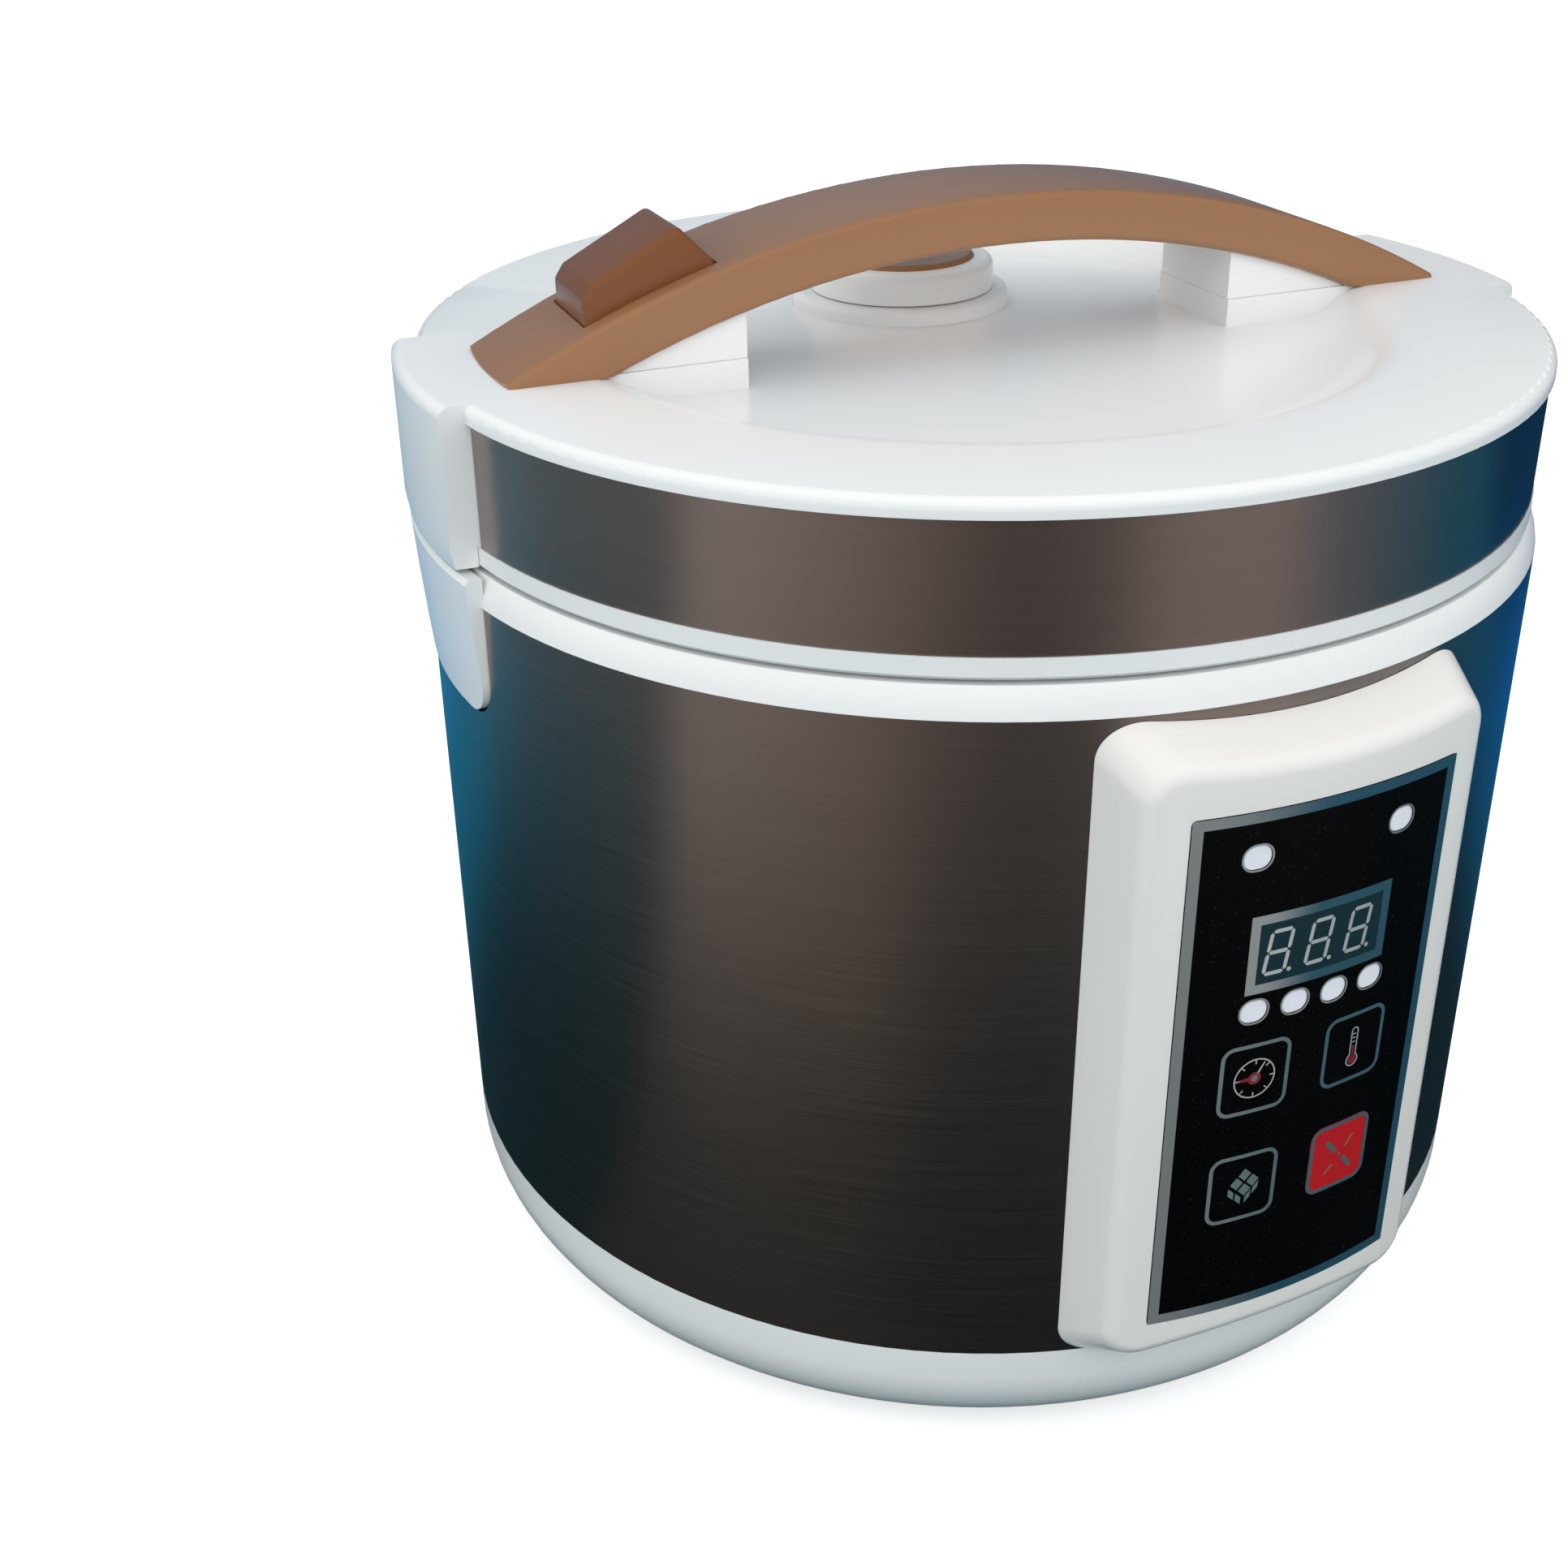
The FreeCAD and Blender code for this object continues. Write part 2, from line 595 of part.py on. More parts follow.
# ---------------------------------------------------------------- base
def base_housing():
    """The white bowl that carries everything: rounded outside, a lip inside the band."""
    floor_r = HATCH_R + SEAT
    ledge_r = HATCH_R - HATCH_LEDGE
    shell = turned([
        (floor_r, Z_BASE), (BASE_FLAT_R, Z_BASE),
        (BASE_MID_R, Z_BASE + BASE_MID_RISE, BODY_R, Z_BASE + BASE_EDGE_RISE),
        (BODY_R, Z_BAND), (LIP_R, Z_BAND), (LIP_R, Z_BAND + LIP_H),
        (LIP_R - LIP_T, Z_BAND + LIP_H), (LIP_R - LIP_T, Z_BASE + BASE_EDGE_RISE),
        (BASE_MID_R - WALL, Z_BASE + BASE_MID_RISE + WALL / 2, BASE_FLAT_R - WALL, Z_BASE + BASE_FLOOR),
        (floor_r + WALL, Z_BASE + BASE_FLOOR), (floor_r + WALL, HATCH_LEDGE_TOP),
        (ledge_r, HATCH_LEDGE_TOP), (ledge_r, HATCH_TOP + SEAT), (floor_r, HATCH_TOP + SEAT),
    ])
    holes = []
    posts = []
    for angle in FOOT_ANGLES:
        x, y = polar(FOOT_CIRCLE_R, angle)
        holes.append(disc(FOOT_STEM_R + SEAT, 0, Z_BASE + BASE_FLOOR + OVER, x, y))
        x, y = polar(HATCH_SCREW_R, angle)
        holes.append(disc(SCREW_R + SEAT, 0, HATCH_LEDGE_TOP + OVER, x, y))
    for angle in POST_ANGLES:
        x, y = polar(POST_CIRCLE_R, angle)
        posts.append(disc(BOSS_R, Z_BASE + BASE_FLOOR / 2, POST_TOP, x, y))
        holes.append(disc(SCREW_R + SEAT, 0, POST_TOP + OVER, x, y))
        holes.append(disc(SCREW_HEAD_R + SEAT, 0, Z_BASE + SCREW_HEAD_H + SEAT, x, y))
    return fused(shell, *posts).cut(holes)


def bottom_cover():
    """The screwed hatch in the base, with rings of air slots."""
    plate = disc(HATCH_R, Z_BASE, HATCH_TOP)
    board_x = (BOARD2_X[0] + STAND_INSET, BOARD2_X[1] - STAND_INSET)
    board_y = (STAND_INSET - BOARD2_HALF_Y, BOARD2_HALF_Y - STAND_INSET)
    stands = [disc(STAND_R, Z_BASE, BOARD2_Z, x, y) for x in board_x for y in board_y]
    holes = []
    for angle in FOOT_ANGLES:
        x, y = polar(HATCH_SCREW_R, angle)
        holes.append(disc(SCREW_R + SEAT, 0, HATCH_TOP + OVER, x, y))
    for angle in range(0, 360, AIR_SLOT_STEP):
        for radius in AIR_SLOT_RINGS:
            slot = box(radius, radius + AIR_SLOT_L, -AIR_SLOT_W / 2, AIR_SLOT_W / 2, 0, HATCH_TOP + OVER)
            holes.append(spun(slot, angle))
    return fused(plate.cut(holes), *stands)


def feet():
    """Four rubber feet pushed through the base, each with a head inside."""
    made = []
    for angle in FOOT_ANGLES:
        x, y = polar(FOOT_CIRCLE_R, angle)
        top = Z_BASE + BASE_FLOOR + SEAT
        pad = Part.makeCone(FOOT_R - FOOT_TAPER, FOOT_R, FOOT_DROP - SEAT / 2, Vector(x, y, 0))
        stem = disc(FOOT_STEM_R, FOOT_DROP - SEAT, top, x, y)
        head = disc(FOOT_HEAD_R, top, top + FOOT_HEAD_H, x, y)
        made.append(fused(pad, stem, head))
    return group(made)


# ---------------------------------------------------------------- body shell
def tongue(top_r):
    """The proud tongue on the rim that meets a block on the lid, facing -X."""
    ring = turned([
        (LIP_R, TONGUE_END_Z), (TONGUE_END_R, TONGUE_END_Z),
        (TONGUE_MID_R, Z_SEAM - TONGUE_MID_DROP, top_r, Z_SEAM - TONGUE_EDGE_H),
        (top_r - TONGUE_EDGE, Z_SEAM), (LIP_R, Z_SEAM),
    ])
    prism = front_block(TONGUE_HALF, TONGUE_END_Z, Z_ABOVE, TONGUE_CORNER, -OUTSIDE, -INSIDE)
    return ring.common(spun(prism, -90))


def body_band():
    """The stainless band, open behind the panel, at the tongues and at the power inlet."""
    band = tube(BODY_R, BODY_R - SHEET, Z_BAND, Z_RIM)
    opening = front_block(BOARD_HALF - PANEL_OPEN_INSET, BOARD_LOW - PANEL_OPEN_INSET,
                          BOARD_HIGH - PANEL_OPEN_INSET, PANEL_OPEN_CORNER, -OUTSIDE, -INSIDE)
    notch = front_block(TONGUE_HALF + NOTCH_GAP, TONGUE_END_Z - PLAY, Z_ABOVE, TONGUE_CORNER,
                        -OUTSIDE, -INSIDE)
    inlet = box(-SOCKET_HALF_W - OVER, SOCKET_HALF_W + OVER, INSIDE, OUTSIDE,
                INLET_Z - SOCKET_HALF_H - OVER, INLET_Z + SOCKET_HALF_H + OVER)
    cuts = [panel_spin(opening), spun(notch, -90 - LATCH_TURN), spun(notch, 90), inlet]
    for x in (-PANEL_SCREW_X, PANEL_SCREW_X):
        for z in PANEL_SCREW_Z:
            cuts.append(panel_spin(rod_y(SCREW_R + SEAT, x, z, -OUTSIDE, -INSIDE)))
    for x in (-INLET_SCREW_X, INLET_SCREW_X):
        cuts.append(rod_y(SCREW_R + SEAT, x, INLET_Z, INSIDE, OUTSIDE))
    return band.cut(cuts)


def body_rim():
    """The white rim: ledge for the pot, lip inside the band, latch pocket and hinge ears."""
    ring = turned([
        (BODY_R, Z_RIM), (BODY_R - RIM_STEP, Z_RIM + RIM_FLARE), (RIM_TOP_R, Z_SEAM - RIM_EDGE),
        (RIM_TOP_R - RIM_EDGE, Z_SEAM), (MOUTH_R + MOUTH_EDGE, Z_SEAM), (MOUTH_R, Z_SEAM - MOUTH_EDGE),
        (MOUTH_R, LEDGE_Z), (LEDGE_R, LEDGE_Z), (LEDGE_R, LEDGE_Z - LEDGE_T),
        (LIP_R - LIP_T, LEDGE_Z - LEDGE_T), (LIP_R - LIP_T, Z_RIM - LIP_H),
        (LIP_R, Z_RIM - LIP_H), (LIP_R, Z_RIM),
    ])
    latch_tongue = spun(tongue(TONGUE_R), -LATCH_TURN)
    hinge_tongue = spun(tongue(HINGE_X + KNUCKLE_R), 180)
    pocket_low = Z_SEAM - POCKET_DEPTH
    pocket_r = TONGUE_R - TONGUE_WALL
    pocket_wall = box(-BLOCK_R, -MOUTH_R - SEAT, -POCKET_HALF - WALL, POCKET_HALF + WALL,
                      pocket_low - WALL, Z_SEAM).common(disc(pocket_r + TONGUE_WALL / 4, 0, Z_SEAM))
    pocket = box(-BLOCK_R, -POCKET_IN_X, -POCKET_HALF, POCKET_HALF, pocket_low, Z_SEAM + OVER)
    pocket = pocket.common(disc(pocket_r, 0, Z_SEAM + OVER))
    ears = box(MOUTH_R + SEAT, HINGE_X + KNUCKLE_R, EAR_INSET - TONGUE_HALF, TONGUE_HALF - EAR_INSET,
               HINGE_Z - BARREL_R - EAR_WALL, Z_SEAM)
    ears = ears.common(disc(HINGE_X + KNUCKLE_R, 0, Z_SEAM + OVER))
    body = fused(ring, latch_tongue, hinge_tongue, pocket_wall, ears)
    return body.cut([pocket, barrel_relief(), *knuckle_slots(), *rim_holes()])


def barrel_relief():
    """Rounds the hinge side's top edge about the pin, so that the lid's block can swing over it."""
    half = TONGUE_HALF + BARREL_R
    corner = box(HINGE_X, HINGE_X + BARREL_RELIEF, -half, half, HINGE_Z, HINGE_Z + BARREL_RELIEF)
    return corner.cut(rod_y(BARREL_R, HINGE_X, HINGE_Z, -half, half))


def knuckle_slots():
    """Two slots for the lid's knuckles and the bore of the hinge pin."""
    slots = [rod_y(HINGE_PIN_R + FIT, HINGE_X, HINGE_Z, -HINGE_PIN_HALF - SEAT, HINGE_PIN_HALF + SEAT)]
    low = HINGE_Z - KNUCKLE_R - PLAY
    for side in (-1, 1):
        inner = side * (KNUCKLE_Y[0] - PLAY)
        outer = side * (KNUCKLE_Y[1] + PLAY)
        slots.append(box(HINGE_X - KNUCKLE_R - PLAY, OUTSIDE, inner, outer, low, Z_SEAM + OVER))
    return slots


def rim_holes():
    """Screw holes in the ledge for the heating chamber."""
    made = []
    for angle in LINER_SCREW_ANGLES:
        x, y = polar(LINER_SCREW_R, angle)
        made.append(disc(SCREW_R + SEAT, LEDGE_Z - LEDGE_T - OVER, LEDGE_Z - RIM_HOLE_SKIN, x, y))
    return made


def latch_keeper():
    """The steel plate the latch hook catches under."""
    x = -POCKET_IN_X - SEAT / 2
    low = HOOK_NOSE_Z + HOOK_NOSE_H + PLAY
    return box(x - KEEPER_T, x, -POCKET_HALF + SEAT, POCKET_HALF - SEAT, low, low + KEEPER_H)


def hinge_pin():
    """The steel pin the lid turns on."""
    pin = rod_y(HINGE_PIN_R, HINGE_X, HINGE_Z, -HINGE_PIN_HALF, HINGE_PIN_HALF)
    return rounded_edges(pin, HINGE_PIN_EDGE, on_pin_end)


def on_pin_end(edge):
    """True for the round edges of the hinge pin's two ends."""
    return edge.Closed and abs(abs(edge.CenterOfMass.y) - HINGE_PIN_HALF) < NEAR


# ---------------------------------------------------------------- heating chamber
def inner_liner():
    """The steel chamber round the pot, hung under the rim's ledge."""
    top = LEDGE_Z - LEDGE_T - SEAT
    inside = LINER_R - LINER_T
    floor = Z_LINER + LINER_T
    middle_r = SENSOR_STEM_R + GUIDE_WALL + GUIDE_GAP
    outer = LINER_CORNER * ARC_IN
    inner = (LINER_CORNER - LINER_T) * ARC_IN
    chamber = turned([
        (middle_r, Z_LINER), (LINER_R - LINER_CORNER, Z_LINER),
        (LINER_R - outer, Z_LINER + outer, LINER_R, Z_LINER + LINER_CORNER), (LINER_R, top - LINER_T),
        (LINER_FLANGE_R, top - LINER_T), (LINER_FLANGE_R, top), (inside, top),
        (inside, Z_LINER + LINER_CORNER), (inside - inner, floor + inner, LINER_R - LINER_CORNER, floor),
        (middle_r, floor),
    ])
    holes = []
    for x, y in on_circle(STUD_CIRCLE_R, STUD_ANGLES) + on_circle(POST_CIRCLE_R, POST_ANGLES):
        holes.append(disc(SCREW_R + SEAT, Z_LINER - OVER, floor + OVER, x, y))
    for x, y in on_circle(LINER_SCREW_R, LINER_SCREW_ANGLES):
        holes.append(disc(SCREW_R + SEAT, top - LINER_T - OVER, top + OVER, x, y))
    for x, y in on_circle(ELEMENT_R, (-TERMINAL_ANGLE, TERMINAL_ANGLE)):
        holes.append(disc(TERMINAL_R + TERMINAL_GAP, Z_LINER - OVER, floor + OVER, x, y))
    return chamber.cut(holes)


def heating_belt():
    """The heating belt round the chamber, drawn together by a clasp."""
    low = Z_LINER + BELT_LOW
    inner = LINER_R + SEAT
    belt = tube(inner + BELT_T, inner, low, low + BELT_H)
    clasp = box(-CLASP_HALF, CLASP_HALF, inner, inner + BELT_T + CLASP_T, low, low + BELT_H)
    gap = box(-CLASP_GAP / 2, CLASP_GAP / 2, INSIDE, OUTSIDE, low - OVER, low + BELT_H + OVER)
    return fused(belt, clasp.cut(disc(inner, low, low + BELT_H))).cut(gap)


def heating_plate():
    """The cast aluminium plate under the pot, on three studs, grooved for its element."""
    low = Z_PLATE
    top = Z_PLATE + PLATE_T
    plate = turned([
        (PLATE_HOLE_R, low), (PLATE_R - PLATE_FOOT_IN, low), (PLATE_R - PLATE_SIDE_IN, low + PLATE_SIDE_H),
        (PLATE_R, top - PLATE_EDGE), (PLATE_R - PLATE_EDGE, top), (PLATE_HOLE_R, top),
    ])
    studs = []
    holes = [Part.makeTorus(ELEMENT_R, ELEMENT_WIRE_R + SEAT, Vector(0, 0, low))]
    for x, y in on_circle(STUD_CIRCLE_R, STUD_ANGLES):
        studs.append(disc(STUD_R, Z_LINER + LINER_T + SEAT / 2, low + OVER, x, y))
        holes.append(disc(SCREW_R + SEAT, 0, low + PLATE_THREAD, x, y))
    return fused(plate, *studs).cut(holes)


def heating_element():
    """The tubular element in the plate's groove, with two terminals through the floor."""
    ring = Part.makeTorus(ELEMENT_R, ELEMENT_WIRE_R, Vector(0, 0, Z_PLATE))
    places = on_circle(ELEMENT_R, (-TERMINAL_ANGLE, TERMINAL_ANGLE))
    return fused(ring, *[disc(TERMINAL_R, Z_LINER - TERMINAL_DROP, Z_PLATE, x, y) for x, y in places])


def inner_pot():
    """The removable pot: a straight-sided bowl with a round bottom corner and a flat rim."""
    low = POT_LOW
    top = POT_TOP
    inside = POT_R - POT_T
    floor_r = POT_R - POT_CORNER_R
    outer = POT_CORNER_R * ARC_IN
    inner = (POT_CORNER_R - POT_T) * ARC_IN
    lip = POT_LIP_ROUND * ARC_IN
    return turned([
        (0, low), (floor_r, low), (POT_R - outer, low + outer, POT_R, low + POT_CORNER_R),
        (POT_R, top - POT_FLANGE_T), (POT_FLANGE_R - POT_FLANGE_EDGE, top - POT_FLANGE_T),
        (POT_FLANGE_R, top - POT_FLANGE_T / 2, POT_FLANGE_R - POT_FLANGE_EDGE, top),
        (inside + POT_LIP_ROUND, top), (inside + lip, top - lip, inside, top - POT_LIP_ROUND),
        (inside, low + POT_CORNER_R), (inside - inner, low + POT_T + inner, floor_r, low + POT_T),
        (0, low + POT_T),
    ])


def temperature_sensor():
    """The sprung sensor in the middle of the plate: cap, stem and stop collar."""
    top = POT_LOW - PLAY
    foot = GUIDE_LOW - SENSOR_TRAVEL - PLAY
    inside = SENSOR_R - SENSOR_CAP_T
    edge = SENSOR_EDGE * ARC_IN
    return turned([
        (0, foot - SENSOR_COLLAR_H), (SENSOR_COLLAR_R, foot - SENSOR_COLLAR_H),
        (SENSOR_COLLAR_R, foot), (SENSOR_STEM_R, foot), (SENSOR_STEM_R, top - SENSOR_CAP_T),
        (inside, top - SENSOR_CAP_T), (inside, top - SENSOR_CAP_H),
        (SENSOR_R, top - SENSOR_CAP_H), (SENSOR_R, top - SENSOR_EDGE),
        (SENSOR_R - edge, top - edge, SENSOR_R - SENSOR_EDGE, top), (0, top),
    ])


def sensor_guide():
    """The sleeve on the chamber's floor that guides the sensor's stem."""
    inner = SENSOR_STEM_R + FIT
    outer = inner + GUIDE_WALL
    low = Z_LINER + LINER_T + SEAT / 2
    return turned([
        (inner, GUIDE_LOW), (outer, GUIDE_LOW), (outer, low), (GUIDE_FLANGE_R, low),
        (GUIDE_FLANGE_R, low + GUIDE_FLANGE_T), (inner, low + GUIDE_FLANGE_T),
    ])


def sensor_spring():
    """The spring that pushes the sensor up against the pot."""
    low = Z_LINER + LINER_T + SEAT / 2 + GUIDE_FLANGE_T + SEAT
    top = POT_LOW - PLAY - SENSOR_CAP_T - SEAT
    return coil(SENSOR_SPRING_R, SENSOR_SPRING_WIRE_R, low, top, SENSOR_SPRING_TURNS)


def thermal_fuse():
    """The thermal fuse and its clip under the chamber's floor."""
    z = Z_LINER - FUSE_R - STRAP_T
    body = rod_y(FUSE_R, FUSE_X, z, -FUSE_LENGTH / 2, FUSE_LENGTH / 2)
    strap = box(FUSE_X - STRAP_HALF_L, FUSE_X + STRAP_HALF_L, -STRAP_HALF_W, STRAP_HALF_W,
                Z_LINER - SEAT - STRAP_T, Z_LINER - SEAT)
    sleeve = rod_y(FUSE_R + STRAP_T, FUSE_X, z, -STRAP_HALF_W, STRAP_HALF_W)
    return fused(body, strap, sleeve.common(disc(LINER_R, 0, Z_LINER - SEAT)))


# ---------------------------------------------------------------- power side
def power_board():
    """The power circuit board with its transformer, relay, terminals and capacitors."""
    left, right = BOARD2_X
    low = BOARD2_Z + SEAT
    top = low + BOARD_T
    board = box(left, right, -BOARD2_HALF_Y, BOARD2_HALF_Y, low, top)
    blocks = []
    for side, (x0, x1, y0, y1, high) in ((left, TRANSFORMER), (left, TRANSFORMER_CORE), (right, RELAY)):
        blocks.append(box(side + x0, side + x1, y0, y1, top, top + high))
    x0, x1, width, high = TERMINAL_BLOCK
    for y in TERMINALS_Y:
        blocks.append(box(right + x0, right + x1, y, y + width, top, top + high))
    for x in CAPACITORS_X:
        blocks.append(disc(CAPACITOR_R, top, top + CAPACITOR_H, left + x, CAPACITOR_Y))
    return fused(board, *blocks)


def inlet_housing():
    """The white surround of the power inlet, standing out of the band at the back."""
    block = spun(front_block(INLET_HALF_W, INLET_Z - INLET_HALF_H, INLET_Z + INLET_HALF_H,
                             INLET_CORNER, -INLET_PROUD_Y, -INSIDE), 180)
    hole = box(-SOCKET_HALF_W - SEAT, SOCKET_HALF_W + SEAT, INSIDE, OUTSIDE,
               INLET_Z - SOCKET_HALF_H - SEAT, INLET_Z + SOCKET_HALF_H + SEAT)
    sides = (-INLET_SCREW_X, INLET_SCREW_X)
    screws = [rod_y(SCREW_R + SEAT, x, INLET_Z, INSIDE, INLET_HOLE_Y) for x in sides]
    return block.cut([disc(BODY_R + SEAT, 0, Z_SEAM), hole, *screws])


def power_inlet():
    """The black appliance inlet: a deep socket that the lead's connector fills."""
    outer = box(-SOCKET_HALF_W, SOCKET_HALF_W, SOCKET_BACK_Y, SOCKET_FRONT_Y,
                INLET_Z - SOCKET_HALF_H, INLET_Z + SOCKET_HALF_H)
    inner = box(-SOCKET_HALF_W + SOCKET_WALL, SOCKET_HALF_W - SOCKET_WALL,
                SOCKET_FRONT_Y - SOCKET_DEPTH, OUTSIDE,
                INLET_Z - SOCKET_HALF_H + SOCKET_WALL, INLET_Z + SOCKET_HALF_H - SOCKET_WALL)
    return outer.cut([inner, *pin_blanks(SEAT / 2)])


def pin_blanks(gap):
    """Three flat pins, the middle one lower, with an allowance all round."""
    made = []
    back = SOCKET_BACK_Y - PIN_TAIL
    tip = SOCKET_FRONT_Y - SOCKET_DEPTH + PIN_LENGTH
    half_w = PIN_HALF_W + gap
    half_h = PIN_HALF_H + gap
    for x, rise in PIN_PLACES:
        z = INLET_Z + rise
        made.append(box(x - half_w, x + half_w, back, tip, z - half_h, z + half_h))
    return made


# ---------------------------------------------------------------- control panel
def panel_spin(shape):
    """Turns what was drawn facing -Y to where the panel faces."""
    return spun(shape, PANEL_TURN)


def panel_hull(inset, radius):
    """The panel's tapered block between its rounded back and front outlines."""
    def edge(half, low, high, y):
        corner = PANEL_CORNER - inset
        return rounded_front(half - inset, low + inset, high - inset, corner, y)
    back = edge(PANEL_BACK_HALF, PANEL_BACK_LOW, PANEL_BACK_HIGH, PANEL_BACK_Y)
    front = edge(PANEL_FRONT_HALF, PANEL_FRONT_LOW, PANEL_FRONT_HIGH, PANEL_FRONT_Y)
    loft = Part.makeLoft([back, front], True, True)
    return loft.common(disc(radius, 0, Z_ABOVE))


def panel_housing():
    """The white housing of the controls: a tapered shell on the band, open at the back."""
    hull = panel_hull(0.0, PANEL_R)
    hull = rounded_edges(hull, PANEL_EDGE, on_panel_front)
    hollow = panel_hull(WALL, PANEL_R - WALL)
    opening = front_block(WINDOW_HALF, WINDOW_LOW, WINDOW_HIGH, WINDOW_CORNER, -OUTSIDE, -INSIDE)
    holes = [label_blank(LABEL_HALF + SEAT, LABEL_LOW - SEAT, LABEL_HIGH + SEAT, PANEL_R - LABEL_T), opening]
    bosses = []
    start = -PANEL_R + PANEL_BOSS_START
    for x in (-PANEL_SCREW_X, PANEL_SCREW_X):
        for z in PANEL_SCREW_Z:
            bosses.append(rod_y(PANEL_BOSS_R, x, z, start, -INSIDE))
            holes.append(rod_y(SCREW_R, x, z, start + WALL, -INSIDE))
    shell = fused(hull.cut(hollow), *bosses)
    return panel_spin(shell.cut([disc(BODY_R + SEAT, 0, Z_ABOVE), *holes]))


def on_panel_front(edge):
    """True for the outline of the panel's curved front."""
    middle = edge.valueAt((edge.FirstParameter + edge.LastParameter) / 2)
    ends = [vertex.Point for vertex in edge.Vertexes]
    return all(abs(math.hypot(p.x, p.y) - PANEL_R) < NEAR for p in ends + [middle])


def label_blank(half, low, high, radius):
    """A curved sheet-shaped space in front of a radius."""
    block = front_block(half, low, high, LABEL_CORNER, -OUTSIDE, -INSIDE)
    return block.cut(disc(radius, 0, Z_ABOVE))


def light_blanks(gap, end_y):
    """The prisms of the indicator lights, two at the top and a row of four, with an allowance."""
    places = [(-LIGHT_TOP_X, LIGHT_TOP_Z), (LIGHT_TOP_X, LIGHT_TOP_Z)]
    places += [(step * LIGHT_ROW_PITCH, LIGHT_ROW_Z) for step in (-1.5, -0.5, 0.5, 1.5)]
    half_h = LIGHT_H / 2 - gap
    blanks = []
    for x, z in places:
        blank = front_block(LIGHT_W / 2 - gap, z - half_h, z + half_h, LIGHT_CORNER - gap, -OUTSIDE, end_y)
        blanks.append(moved(blank, x))
    return blanks


def key_place(name):
    """The X and Z of a key's centre."""
    column, row = KEYS[name]
    return column * KEY_X, KEY_ROWS[row]


def key_blank(name, gap):
    """A key's prism, with an allowance all round."""
    x, z = key_place(name)
    half_h = KEY_H / 2 + gap
    prism = front_block(KEY_W / 2 + gap, z - half_h, z + half_h, KEY_CORNER + gap, -OUTSIDE, -INSIDE)
    return moved(prism, x)


def panel_label():
    """The thin black label, cut out for the display, the indicators and the keys."""
    sheet = label_blank(LABEL_HALF, LABEL_LOW, LABEL_HIGH, PANEL_R - LABEL_T + SEAT / 2)
    sheet = sheet.common(disc(PANEL_R + SEAT, 0, Z_ABOVE))
    window = front_block(DISPLAY_HALF + SEAT, DISPLAY_LOW - SEAT, DISPLAY_HIGH + SEAT, DISPLAY_CORNER,
                         -OUTSIDE, -INSIDE)
    keys = [key_blank(name, KEY_PLAY) for name in KEYS]
    return panel_spin(sheet.cut([window, *light_blanks(0.0, -INSIDE), *keys]))


def display_window():
    """The clear tinted window over the display."""
    block = front_block(DISPLAY_HALF, DISPLAY_LOW, DISPLAY_HIGH, DISPLAY_CORNER, -OUTSIDE, -INSIDE)
    return panel_spin(block.common(tube(PANEL_R + SEAT, PANEL_R - LABEL_T + SEAT / 2, 0, Z_ABOVE)))


def key(name):
    """One key: a curved plate that moves straight in."""
    return panel_spin(key_blank(name, 0.0).common(tube(PANEL_R + SEAT, PANEL_R - KEY_T, 0, Z_ABOVE)))


def control_board():
    """The flat circuit board behind the panel's front, held by the housing's ribs."""
    y = BOARD_Y
    back = y + BOARD_T
    board = box(-BOARD_HALF, BOARD_HALF, y, back, BOARD_LOW, BOARD_HIGH)
    chip_z = BOARD_LOW + CHIP_LOW
    chip = box(-CHIP_HALF, CHIP_HALF, back - SEAT, back + CHIP_T, chip_z, chip_z + 2 * CHIP_HALF)
    plug_z = BOARD_LOW + SHEET
    plug = box(-PLUG_HALF, PLUG_HALF, back - SEAT, back + PLUG_T, plug_z, plug_z + PLUG_H)
    return panel_spin(fused(board, chip, plug))


def display_module():
    """The three-digit display behind the window."""
    y = BOARD_Y - SEAT / 2
    half = DISPLAY_HALF - DISPLAY_INSET
    return panel_spin(box(-half, half, y - DISPLAY_DEPTH, y,
                          DISPLAY_LOW + DISPLAY_INSET, DISPLAY_HIGH - DISPLAY_INSET))


def indicator_lights():
    """Six indicator lights that look out through the label."""
    front = disc(PANEL_R - SEAT, 0, Z_ABOVE)
    return group([panel_spin(blank.common(front)) for blank in light_blanks(SEAT, BOARD_Y - SEAT / 2)])


def key_switches():
    """The four small switches behind the keys."""
    made = []
    y = BOARD_Y - SEAT / 2
    half = SWITCH_W / 2
    for name in KEYS:
        x, z = key_place(name)
        body = box(x - half, x + half, y - SWITCH_H, y, z - half, z + half)
        reach = math.sqrt((PANEL_R - KEY_T) ** 2 - (abs(x) + SWITCH_BUTTON_R) ** 2)
        tip = -reach + KEY_TRAVEL + SEAT
        made.append(panel_spin(fused(body, rod_y(SWITCH_BUTTON_R, x, z, tip, y - SWITCH_H / 2))))
    return group(made)


def board_cable():
    """The flat cable from the control board down to the power board."""
    back = BOARD_Y + BOARD_T + PLUG_T + SEAT
    drop_y = -BODY_R + CABLE_IN
    top = BOARD_LOW + SHEET + (PLUG_H + CABLE_T) / 2
    low = BOARD2_Z + BOARD_T + CABLE_LIFT
    run = fused(
        box(-CABLE_HALF, CABLE_HALF, back, drop_y + CABLE_T, top - CABLE_T, top),
        box(-CABLE_HALF, CABLE_HALF, drop_y, drop_y + CABLE_T, low, top),
        box(-CABLE_HALF, CABLE_HALF, drop_y, -BOARD2_HALF_Y + CABLE_LAP, low, low + CABLE_T),
    )
    return panel_spin(run)


# ---------------------------------------------------------------- lid shell
def on_side(shape, side, turn=0.0):
    """Puts what was drawn at -X at the latch (side -1) or at the hinge (side 1)."""
    return spun(shape, (180 if side > 0 else 0) - turn)


